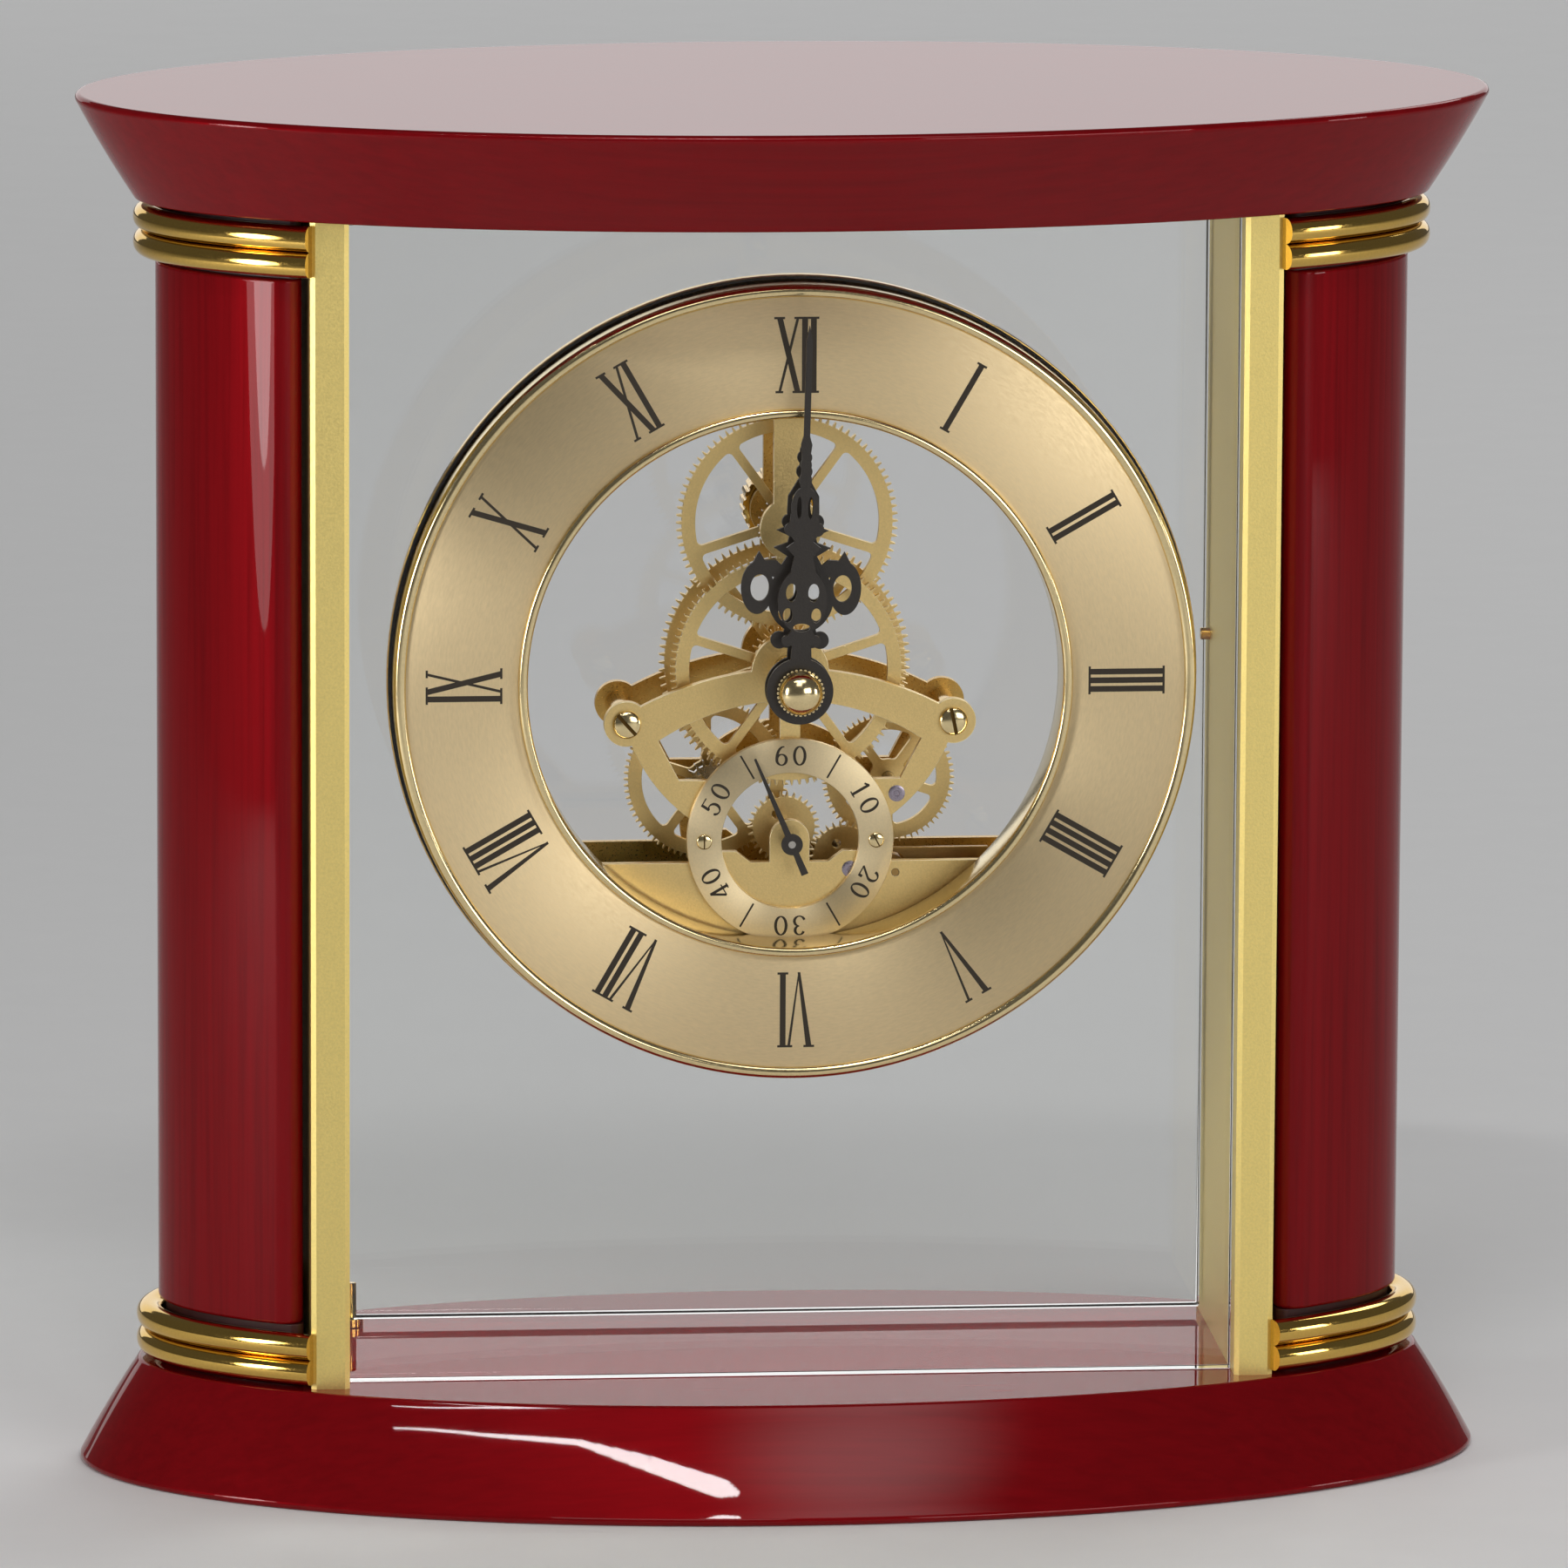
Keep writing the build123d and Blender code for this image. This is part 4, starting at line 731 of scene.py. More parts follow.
def flat_solid(outlines, front, back, holes=(), place=lambda u, v: (u, v)):
    """A plate between two depths along Y, from outlines in (u, v) that place turns into (x, z)."""
    points, faces = flat_faces(outlines, holes)
    bm = bmesh.new()
    places = [place(*p) for p in points]
    fronts = [bm.verts.new((x, front, z)) for x, z in places]
    backs = [bm.verts.new((x, back, z)) for x, z in places]
    used = {}
    for face in faces:
        bm.faces.new([fronts[k] for k in face])
        bm.faces.new([backs[k] for k in reversed(face)])
        for a, b in zip(face, face[1:] + face[:1]):
            used[frozenset((a, b))] = used.get(frozenset((a, b)), ()) + ((a, b),)
    for edge in used.values():
        if len(edge) == 1:
            a, b = edge[0]
            bm.faces.new((fronts[b], fronts[a], backs[a], backs[b]))
    bmesh.ops.delete(bm, geom=[v for v in bm.verts if not v.link_faces], context="VERTS")
    bmesh.ops.recalc_face_normals(bm, faces=bm.faces)
    return bm


# %% Edges
flat_within = math.radians(0.4)


def bevel_edges(piece, width, segments, angle, **settings):
    """Bevel the edges that bend by more than an angle in degrees."""
    bevel = piece.modifiers.new("cut edge", "BEVEL")
    bevel.limit_method = "ANGLE"
    bevel.angle_limit = math.radians(angle)
    bevel.width = width
    bevel.segments = segments
    for name, value in settings.items():
        setattr(bevel, name, value)


# %% Panes
pane_arris = 0.3 * mm
pane_gap = 0.05 * mm
front_ground, rear_ground = 1.1 * mm, 0.5 * mm
hole_gap = 0.2 * mm


def pane(name, node, ground, holes=(), sides=None, foot=None, head=None):
    """A sheet of glass between the node's faces; ground is the height of the white strip at its foot."""
    low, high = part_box(node)
    left, right_side = sides or (low.x, high.x)
    bottom, top = foot or low.z, head or high.z
    outline = [(left, bottom), (right_side, bottom), (right_side, top), (left, top)]
    bm = flat_solid([outline], low.y, high.y, holes)
    strip_top = bottom + ground
    everything = [*bm.verts, *bm.edges, *bm.faces]
    bmesh.ops.bisect_plane(bm, geom=everything, plane_co=(0, 0, strip_top), plane_no=(0, 0, 1))
    bm.normal_update()
    for face in bm.faces:
        height = face.calc_center_median().z
        under = height < bottom + hair or height > top - hair
        strip = height < strip_top and face.normal.y < -0.9
        face.material_index = 1 if under or strip else 0
    flat = {"angle_limit": flat_within, "delimit": {"MATERIAL"}}
    bmesh.ops.dissolve_limit(bm, verts=bm.verts, edges=bm.edges, **flat)
    piece = piece_from(name, bm, glass, ground_edge)
    bevel_edges(piece, pane_arris, segments=1, angle=60)
    return settle(piece, "clear_glass", node)


bar_face_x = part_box("right_upright")[0].x - pane_gap
carrier_radius = 60.8 * mm
pane_hole = circle(carrier_radius + hole_gap, (0.0, dial_z), steps=160)
pane("front_pane", "front_glass", front_ground, [pane_hole], (-bar_face_x, bar_face_x),
     base_high.z + pane_gap, cap_low.z - pane_gap)
pane("rear_pane", "rear_glass", rear_ground)

# %% [markdown]
# ## Dressed CAD pieces
# Many pieces of the movement are right as the CAD made them, so they aren't modelled again and only get a
# machinist's finish. A copy of the node's triangles is merged, its flat faces are joined up, and a small
# bevel with its own material, painted near white as a highlight, stands for the polished cut edge that
# every plate and wheel shows.

# %% Dressing CAD nodes
def dress(node, finish, slot, bevel=0.0, edge=None, segments=2):
    """Stand for a CAD node by a merged copy of it, with a bevel in the edge's finish."""
    bm = bmesh.new()
    bm.from_mesh(frame["nodes"][node].data)
    bmesh.ops.remove_doubles(bm, verts=bm.verts, dist=hair)
    bmesh.ops.dissolve_limit(bm, angle_limit=flat_within, verts=bm.verts, edges=bm.edges)
    piece = piece_from(f"finished_{node}", bm, finish, edge or finish)
    if bevel:
        # The bevel's faces take the edge finish, which on plates and wheels is the near-white painted highlight.
        bevel_edges(piece, bevel, segments, angle=40, harden_normals=True, material=1)
    for face in piece.data.polygons:
        face.material_index = 0
    return settle(piece, slot, node)


# %% Plates, wheels and arbors
plate_edge, wheel_edge = 0.36 * mm, 0.05 * mm
for side_name, finish in (("front", movement_gold), ("rear", plate_back)):
    for form in ("plate", "arm"):
        dress(f"{side_name}_{form}", finish, "movement_gold", plate_edge, edge_painted_highlight)
for name in ("centre", "hour", "motion", "third", "seconds", "idler", "side"):
    dress(f"{name}_wheel", movement_gold, "movement_gold", wheel_edge, edge_painted_highlight, 1)
for name in ("centre", "motion", "third", "seconds", "idler", "side"):
    dress(f"{name}_arbor", steel, "steel")
dress("motor_rotor", yellow_steel, "steel")
dress("cannon_pinion", movement_gold, "movement_gold")

# %% Pieces with a small bevel, in millimetres
bevelled = (
    (0.15, polished_brass, "polished_brass", "plate_pillars"),
    (0.2, polished_brass, "polished_brass", "clamp_ring"),
    (0.2, movement_gold, "movement_gold", "dial_carrier"),
    (0.15, polished_brass, "polished_brass", "door_pivots"),
    (0.2, polished_brass, "polished_brass", "door_stop"),
    (0.1, hand_black, "black_hands", "hour_hand", "minute_hand"),
    (0.06, hand_black, "black_hands", "seconds_hand"),
    (0.2, polished_brass, "polished_brass", "setting_knob"),
    (0.3, gold_plastic, "gold_plastic", "battery_case"),
    (0.4, cell_wrap, "cell_wrap", "battery"),
    (0.1, steel, "steel", "battery_contacts"),
    (0.1, board_green, "board", "circuit_board"),
    (0.1, yellow_steel, "steel", "motor_stator"),
    (0.3, dark_wood, "dark_wood", "column_cores"),
    (0.2, felt, "felt", "base_felt"),
    (0.2, steel, "steel", "tie_rods"),
    (0.2, polished_brass, "polished_brass", "tie_nuts", "cap_inserts"),
)
for bevel, finish, slot, *nodes in bevelled:
    for node in nodes:
        dress(node, finish, slot, bevel * mm)

# %% [markdown]
# ## Dial and bezels
# The dial is a flat ring, turned and brushed. A rounded bezel runs round its outside and a tube with a
# rolled lip lines its opening. All three are turned here as on a lathe: a skin whose rows are circles
# round an axis along Y. A Screw modifier would spin a profile too, but its seam would still need merging.

# %% Lathe
def lathe(profile, at=Vector((0, 0, dial_z)), steps=360, loop=True):
    """Spin (radius, depth) points about the axis along Y through at; radius 0 is a pole."""
    rows = []
    for radius, depth in profile:
        spots = circle(radius, (at.x, at.z), steps)
        rows.append([(x, depth, z) for x, z in (spots if radius > 0 else spots[:1])])
    return skin(rows, loop=loop)


def flat_ring(inner, outer, low, high, edge):
    """The lathe profile of a flat ring with a rounded front edge."""
    corners = [(inner, low.y), (outer, low.y), (outer, high.y), (inner, high.y)]
    return rounded(corners, [edge, edge, 0, 0], steps=2, closed=True)


# %% Dial and outer bezel
dial_low, dial_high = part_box("dial_plate")
dial_outer = dial_high.x
bezel_low, bezel_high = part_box("outer_bezel")
opening_radius = 43.4 * mm
dial_lap, dial_edge = 0.8 * mm, 0.1 * mm
lip_gap = 0.02 * mm
bezel_gap = 0.03 * mm
dial_profile = flat_ring(opening_radius + dial_lap, dial_outer, dial_low, dial_high, dial_edge)
settle(piece_from("brushed_dial", lathe(dial_profile), dial_gold), "dial_gold", "dial_plate")

bead_reach = (1.05 * mm, 1.1 * mm)
bead_start = math.radians(152.0)
bead_steps = 20
bezel_profile = []
for k in range(bead_steps + 1):
    turn = bead_start * (1 - k / bead_steps)
    radius = bezel_high.x - bead_reach[0] * (1 - math.cos(turn))
    bezel_profile.append((radius, bezel_low.y + bead_reach[1] * (1 - math.sin(turn))))
rebate, seat = dial_outer + bezel_gap, dial_low.y - lip_gap
bezel_profile += [(bezel_high.x, bezel_high.y), (rebate, bezel_high.y), (rebate, seat)]
settle(piece_from("outer_bezel_ring", lathe(bezel_profile), bezel_gold), "polished_brass", "outer_bezel")

# %% Inner bezel
tube_low, tube_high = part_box("inner_bezel")
tube_wall = 0.77 * mm
lip_round, tube_round = 0.7 * mm, 0.2 * mm
lining_reach = opening_radius + 0.1 * mm
lip_outer, tube_outer = tube_high.x, opening_radius + tube_wall
inner_points = [(opening_radius, tube_low.y), (lip_outer, tube_low.y), (lip_outer, seat),
                (tube_outer, seat), (tube_outer, tube_high.y), (opening_radius, tube_high.y)]
inner_radii = [lip_round, lip_round, 0, 0, 0, tube_round]
tube_bm = lathe(rounded(inner_points, inner_radii, steps=6, closed=True))
for face in tube_bm.faces:
    middle = face.calc_center_median()
    radius = math.hypot(middle.x, middle.z - dial_z)
    face.material_index = 1 if abs(face.normal.y) < 0.1 and radius < lining_reach else 0
settle(piece_from("inner_bezel_tube", tube_bm, bezel_gold, tube_gold), "polished_brass", "inner_bezel")

# %% [markdown]
# ## Numerals of the dial
# The hours are Roman numerals printed with their feet towards the centre. A text object would bring its
# own typeface, so each letter is a few straight pen strokes, thick or thin, with flat serifs, and all
# strokes of a numeral are melted into one outline.

# %% Letters
numeral_foot = 47.5 * mm
numeral_height = 12.4 * mm
thick, thin, serif = 0.95 * mm, 0.44 * mm, 0.36 * mm
serif_reach = 0.4 * mm
letter_advance = {"I": 1.42 * mm, "V": 3.8 * mm, "X": 3.8 * mm}
letter_spread = {"I": 0.0, "V": 1.65 * mm, "X": 1.5 * mm}
print_depth = 0.02 * mm


def slanted_stroke(foot_x, head_x, width, foot_width=None):
    """A stroke from foot to head, which can narrow towards its foot."""
    half, foot_half = width / 2, (foot_width or width) / 2
    return [(foot_x - foot_half, 0.0), (foot_x + foot_half, 0.0), (head_x + half, numeral_height),
            (head_x - half, numeral_height)]


def serif_bar(x, width, at_head):
    """A flat bar across one end of a stroke."""
    low = numeral_height - serif if at_head else 0.0
    reach = width / 2 + serif_reach
    return [(x - reach, low), (x + reach, low), (x + reach, low + serif), (x - reach, low + serif)]


def letter_strokes(letter, left):
    """The strokes of one letter whose room starts at left."""
    middle = left + letter_advance[letter] / 2
    spread = letter_spread[letter]
    near, far = middle - spread, middle + spread
    if letter == "I":
        ends = [serif_bar(middle, thick, False), serif_bar(middle, thick, True)]
        return [slanted_stroke(middle, middle, thick), *ends]
    heads = [serif_bar(near, thick, True), serif_bar(far, thin, True)]
    if letter == "V":
        slants = [slanted_stroke(middle, near, thick, thin), slanted_stroke(middle, far, thin, thin / 2)]
        return slants + heads
    slants = [slanted_stroke(far, near, thick), slanted_stroke(near, far, thin)]
    return slants + heads + [serif_bar(far, thick, False), serif_bar(near, thin, False)]


# %% Numerals
def numeral_strokes(numeral):
    """The strokes of a whole numeral, centred."""
    strokes, left = [], -sum(letter_advance[letter] for letter in numeral) / 2
    for letter in numeral:
        strokes += letter_strokes(letter, left)
        left += letter_advance[letter]
    return strokes


def on_ring(centre, hour_turn, foot):
    """Places (u, v) on a ring: v runs outwards from the foot radius and u runs clockwise."""
    c, s = math.cos(hour_turn), math.sin(hour_turn)
    return lambda u, v: (centre.x + u * c + (foot + v) * s, centre.z - u * s + (foot + v) * c)


numerals = ("XII", "I", "II", "III", "IIII", "V", "VI", "VII", "VIII", "IX", "X", "XI")
for hour, numeral in enumerate(numerals):
    place = on_ring(Vector((0, 0, dial_z)), math.radians(30 * hour), numeral_foot)
    bm = flat_solid(numeral_strokes(numeral), dial_low.y - print_depth, dial_low.y, place=place)
    settle(piece_from(f"numeral_{hour or 12}", bm, print_black), "black_hands", body="case")

# %% [markdown]
# ## Seconds sub-dial
# A small brushed ring carries the seconds in tens and four fine lines. Digits are drawn with a broad pen:
# a stroke is thick where it runs up or down and thin where it runs across, as in engraved figures. A bow
# is part of an ellipse, so that a digit needs only a few numbers.

# %% Ring of the sub-dial
seconds_at = axes["seconds_turn"]
sub_low, sub_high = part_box("sub_dial")
sub_outer = sub_high.x
sub_hole, sub_edge = 11.2 * mm, 0.18 * mm
sub_profile = flat_ring(sub_hole, sub_outer, sub_low, sub_high, sub_edge)
sub_bm = lathe(sub_profile, seconds_at, steps=240)
for face in sub_bm.faces:
    # The slanted edge faces take the near-white painted highlight of the cut edges.
    face.material_index = 1 if 0.15 < abs(face.normal.y) < 0.99 else 0
settle(piece_from("seconds_ring", sub_bm, sub_dial_gold, edge_painted_highlight), "dial_gold", "sub_dial")

# %% Digits
digit_height = 3.15 * mm
digit_width = 2.05 * mm
digit_thick, digit_thin = 0.46 * mm, 0.2 * mm
digit_foot = 12.45 * mm
digit_pitch = 2.95 * mm
pen_reach = 0.4 * digit_thin


def bow(centre, radii, start, end, steps=18):
    """Points along an ellipse between two angles in degrees, in shares of the digit's box."""
    turns = [math.radians(start + (end - start) * k / steps) for k in range(steps + 1)]
    return [(centre[0] + radii[0] * math.cos(t), centre[1] + radii[1] * math.sin(t)) for t in turns]


digit_lines = {
    "0": [bow((0.5, 0.5), (0.42, 0.48), 0, 360, 32)],
    "1": [[(0.5, 0.0), (0.5, 1.0)], [(0.5, 1.0), (0.24, 0.86)], [(0.26, 0.02), (0.74, 0.02)]],
    "2": [bow((0.48, 0.7), (0.38, 0.28), 170, -40) + [(0.12, 0.04)], [(0.12, 0.04), (0.88, 0.04)],
          [(0.88, 0.04), (0.9, 0.2)]],
    "3": [bow((0.46, 0.75), (0.34, 0.23), 160, -80), bow((0.46, 0.27), (0.4, 0.26), 80, -160)],
    "4": [[(0.68, 0.0), (0.68, 0.98)], [(0.68, 0.98), (0.06, 0.3)], [(0.06, 0.28), (0.94, 0.28)],
          [(0.5, 0.02), (0.86, 0.02)]],
    "5": [[(0.24, 0.96), (0.86, 0.96)], [(0.24, 0.96), (0.2, 0.54)],
          bow((0.46, 0.31), (0.4, 0.3), 130, -155)],
    "6": [bow((0.5, 0.3), (0.38, 0.28), 0, 360, 28), bow((0.66, 0.34), (0.54, 0.64), 185, 88)],
}


# %% Seconds figures
def pen_quads(line, left):
    """One quad for each step of a line, as wide as a broad pen draws in that direction."""
    points = [Vector((left + x * digit_width, y * digit_height)) for x, y in line]
    quads = []
    for start, end in zip(points, points[1:]):
        along = (end - start).normalized()
        half = (digit_thin + (digit_thick - digit_thin) * along.y**2) / 2
        side = Vector((-along.y, along.x)) * half
        start, end = start - along * pen_reach, end + along * pen_reach
        quads.append([tuple(p) for p in (start - side, end - side, end + side, start + side)])
    return quads


def figure_quads(text):
    """The pen's quads for a number, centred."""
    left = -(len(text) - 1) * digit_pitch / 2 - digit_width / 2
    quads = []
    for digit in text:
        for line in digit_lines[digit]:
            quads += pen_quads(line, left)
        left += digit_pitch
    return quads


for index, text in enumerate(("60", "10", "20", "30", "40", "50")):
    place = on_ring(seconds_at, math.radians(60 * index), digit_foot)
    bm = flat_solid(figure_quads(text), sub_low.y - print_depth, sub_low.y, place=place)
    settle(piece_from(f"seconds_figure_{text}", bm, print_black), "black_hands", body="case")

# %% [markdown]
# ## Lines of the sub-dial
# The four fine lines are printed between the figures. They could be four boxes, but one small bar that
# Geometry Nodes repeat keeps their size in one place: each host point lies on the ring and carries the
# turn of its line.

# %% Sub-dial lines
tick_thick = 0.3 * mm
tick_inner, tick_outer = 11.9 * mm, 16.3 * mm

ticks = Tree("printed_lines", Length="Float", Thick="Float", Depth="Float", Material="Material")
tick_sides = {"X": ticks.given("Thick"), "Y": ticks.given("Depth"), "Z": ticks.given("Length")}
tick_size = ticks.node("ShaderNodeCombineXYZ", tick_sides)
ticks.place(ticks.node("GeometryNodeMeshCube", {"Size": tick_size}), turned=True)

tick_turns = [math.radians(6 * second) for second in (5, 25, 35, 55)]
tick_middle = (tick_inner + tick_outer) / 2
tick_places = []
for turn in tick_turns:
    x, z = on_ring(seconds_at, turn, tick_middle)(0.0, 0.0)
    tick_places.append((x, sub_low.y - print_depth / 2, z))
tick_lines = ticks.run("seconds_lines", points_mesh(tick_places, tick_turns), Length=tick_outer - tick_inner,
                       Thick=tick_thick, Depth=print_depth, Material=print_black)
settle(tick_lines, "black_hands", body="case")

# %% [markdown]
# ## Slotted screws
# A screw head is a dome from the lathe, cut by its slot into two halves over a common floor, painted a
# dark brown that stands for the shade down in the slot. A Boolean could cut the slot, but two bisected
# halves are cleaner. Geometry Nodes put a screw on each place, turned by its own angle, because no two
# screws stop at the same turn.

# %% Joined meshes and domes
def joined(*parts):
    """One mesh of several, which are used up."""
    whole = bmesh.new()
    for part in parts:
        mesh = bpy.data.meshes.new("part")
        part.to_mesh(mesh)
        part.free()
        whole.from_mesh(mesh)
        bpy.data.meshes.remove(mesh)
    return whole


def dome(radius, height, steps):
    """Half a dome's outline from its top, as (radius, depth below the top)."""
    turns = [math.pi / 2 * k / steps for k in range(steps + 1)]
    return [(radius * math.sin(turn), height * (1 - math.cos(turn))) for turn in turns]


# %% One screw
screw_dome_steps = 8
screw_rim_share = 0.45
slot_floor_share = 0.97
origin = Vector((0, 0, 0))


def screw_mesh(head_radius, head_height, shank_radius, shank_length, slot_width, slot_depth, facing):
    """A slotted screw at the origin; facing is -1 when its head looks to the front and 1 to the back."""
    crown = dome(head_radius, head_height * (1 - screw_rim_share), screw_dome_steps)
    outline = [(radius, depth - head_height) for radius, depth in crown]
    head = lathe([*outline, (head_radius, 0), (0, 0)], origin, steps=48, loop=False)
    halves = []
    for side in (-1, 1):
        half = head.copy()
        cut = Vector((0, 0, side * slot_width / 2))
        geometry = [*half.verts, *half.edges, *half.faces]
        bmesh.ops.bisect_plane(half, geom=geometry, plane_co=cut, plane_no=(0, 0, side), clear_inner=True)
        bmesh.ops.holes_fill(half, edges=[e for e in half.edges if e.is_boundary])
        halves.append(half)
    head.free()
    x, z = head_radius * slot_floor_share, slot_width / 2
    floor = flat_solid([[(-x, -z), (x, -z), (x, z), (-x, z)]], slot_depth - head_height, 0.0)
    shank_outline = [(0, 0), (shank_radius, 0), (shank_radius, shank_length), (0, shank_length)]
    screw = joined(*halves, floor, lathe(shank_outline, origin, steps=24, loop=False))
    if facing > 0:
        bmesh.ops.rotate(screw, verts=screw.verts, matrix=Matrix.Rotation(math.pi, 3, "Z"))
    bmesh.ops.recalc_face_normals(screw, faces=screw.faces)
    return screw


# %% Tree of the screws
screws = Tree("screws_on_points", Screw="Object", Material="Material")
screw_shape = screws.node("GeometryNodeObjectInfo", {"Object": screws.given("Screw")}, out="Geometry")
screws.place(screw_shape, turned=True)


def on_points(name, pattern_bm, places, turns, finish):
    """One piece that repeats a pattern on its places, each turned by its own angle in degrees."""
    pattern = bpy.data.objects.new("pattern", bpy.data.meshes.new("pattern"))
    pattern_bm.to_mesh(pattern.data)
    pattern_bm.free()
    scene.collection.objects.link(pattern)
    host = points_mesh(places, [math.radians(turn) for turn in turns])
    piece = screws.run(name, host, Screw=pattern, Material=finish)
    bpy.data.objects.remove(pattern)
    return piece


def screw_set(name, places, turns, facing, sizes, *nodes):
    """Screws on their places, turned by angles in degrees, that stand for CAD nodes where there are some."""
    piece = on_points(name, screw_mesh(*sizes, facing), places, turns, bezel_gold)
    # The slot floor takes the dark painted shade.
    piece.data.materials.append(slot_painted_shade)
    slot_floor = places[0][1] + facing * (sizes[1] - sizes[5])
    for face in piece.data.polygons:
        face.material_index = 1 if abs(face.center.y - slot_floor) < hair else 0
    return settle(piece, "polished_brass", *nodes, body="case")


# %% Screws of the plates
# Head radius and height, shank radius and length, slot width and depth
plate_screw = (2.3 * mm, 1.3 * mm, 1.15 * mm, 5.4 * mm, 0.6 * mm, 0.6 * mm)
plate_low, plate_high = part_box("front_plate")
rear_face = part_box("rear_plate")[1].y
eye = (26.6 * mm, -8.2 * mm)
foot_pillar = (36.0 * mm, -34.5 * mm)
arm_pillar_z = 50.0 * mm
pillar_spots = [(-eye[0], eye[1]), eye, (-foot_pillar[0], foot_pillar[1]), foot_pillar, (0.0, arm_pillar_z)]
front_spots = [(x, plate_low.y, dial_z + z) for x, z in pillar_spots]
rear_spots = [(x, rear_face, dial_z + z) for x, z in pillar_spots]
screw_set("front_pillar_screws", front_spots, (48, 78, 20, 110, 65), -1, plate_screw, "plate_screws")
screw_set("rear_pillar_screws", rear_spots, (15, 130, 75, 40, 100), 1, plate_screw)

# %% Screws of the carrier, the battery case and the sub-dial
carrier_spot_radius = 59.15 * mm
carrier_spots = []
for bearing in (0, 140, 220):
    x, z = on_ring(axes["minute_turn"], math.radians(bearing), carrier_spot_radius)(0.0, 0.0)
    carrier_spots.append((x, plate_high.y, z))
screw_set("dial_carrier_screws", carrier_spots, (30, 85, 140), 1, plate_screw, "carrier_screws")

lug_low, lug_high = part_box("case_screws")
lug_x = lug_high.x - plate_screw[0]
lug_z = (lug_low.z + lug_high.z) / 2
lug_spots = [(-lug_x, plate_low.y, lug_z), (lug_x, plate_low.y, lug_z)]
screw_set("battery_case_screws", lug_spots, (55, 120), -1, plate_screw, "case_screws")

stud = (1.25 * mm, 0.6 * mm, 0.65 * mm, 2.6 * mm, 0.22 * mm, 0.25 * mm)
stud_x = 14.025 * mm
stud_spots = [(side * stud_x, sub_low.y, seconds_at.z) for side in (-1, 1)]
screw_set("seconds_ring_studs", stud_spots, (90, 62), -1, stud, "sub_dial_screws")

# %% [markdown]
# ## Pivot bushings
# Where an arbor ends in the front plate, a grey bushing with a sunk middle is pressed in. It could be cut
# into the plate, but as a piece of its own it has its own metal. It is one lathe profile, put on the pivots
# by the same tree that places the screws.

# %% Bushings
bushing_radius = 1.35 * mm
bushing_profile = [
    (0.0, 0.1 * mm),
    (0.42 * mm, 0.1 * mm),
    (0.5 * mm, -0.02 * mm),
    (1.15 * mm, -0.08 * mm),
    (bushing_radius, 0.0),
    (bushing_radius, 0.3 * mm),
    (0.0, 0.3 * mm),
]
bushing_bm = lathe(bushing_profile, origin, steps=40, loop=False)
pivots = [axes[name] for name in ("idler_turn", "side_turn")]
bushing_proud = 0.04 * mm
pivot_spots = [(p.x, plate_low.y - bushing_proud, p.z) for p in pivots]
bushings = on_points("pivot_bushings", bushing_bm, pivot_spots, [0.0] * len(pivots), bushing_steel)
settle(bushings, "steel", body="case")

# %% [markdown]
# ## Cap nut of the hands
# A polished dome holds the minute hand. Round its skirt runs a fine serration for the fingers. It could
# be a wavy profile, but one ridge that is repeated on a circle of points keeps the skirt plain.

# %% Cap nut
nut_low, nut_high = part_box("hand_nut")
nut_radius = nut_high.x
nut_skirt = 1.4 * mm
nut_neck = 0.93 * nut_radius
nut_dome_steps = 14
centre_axis = axes["minute_turn"]
nut_dome = dome(nut_neck, nut_high.y - nut_skirt - nut_low.y, nut_dome_steps)
nut_profile = [(radius, nut_low.y + depth) for radius, depth in nut_dome]
nut_profile += [(nut_neck, nut_high.y), (0.0, nut_high.y)]
nut = piece_from("cap_nut", lathe(nut_profile, centre_axis, steps=96, loop=False), bezel_gold)
settle(nut, "polished_brass", "hand_nut")

# %% Serration
ridge_sizes = {"Radius": "Float", "Thick": "Float", "Length": "Float"}
ridges = Tree("ridges_round_axis", Count="Int", **ridge_sizes, Material="Material")
circle_sizes = {"Vertices": ridges.given("Count"), "Radius": ridges.given("Radius")}
ridge_line = ridges.node("GeometryNodeMeshCircle", circle_sizes)
rod_sizes = {"Vertices": 10, "Radius": ridges.given("Thick"), "Depth": ridges.given("Length")}
ridge = ridges.node("GeometryNodeMeshCylinder", rod_sizes)
crown = ridges.node("GeometryNodeInstanceOnPoints", {"Points": ridge_line, "Instance": ridge})
quarter_turn = (math.pi / 2, 0.0, 0.0)
ridges.place(ridges.node("GeometryNodeTransform", {"Geometry": crown, "Rotation": quarter_turn}))
nut_spot = (centre_axis.x, nut_high.y - nut_skirt / 2, centre_axis.z)
ridge_count, ridge_thick, ridge_length = 32, 0.26 * mm, 0.98 * nut_skirt
serration = ridges.run("cap_nut_serration", points_mesh([nut_spot]), Count=ridge_count, Radius=nut_neck,
                       Thick=ridge_thick, Length=ridge_length, Material=bezel_gold)
settle(serration, "polished_brass", body="minute_train")

# %% [markdown]
# ## Coil of the motor
# The stepper motor's coil is copper wire on a bobbin. Only its outer layer shows, so that is a helix swept
# into a tube, over a plain core and between two black flanges.

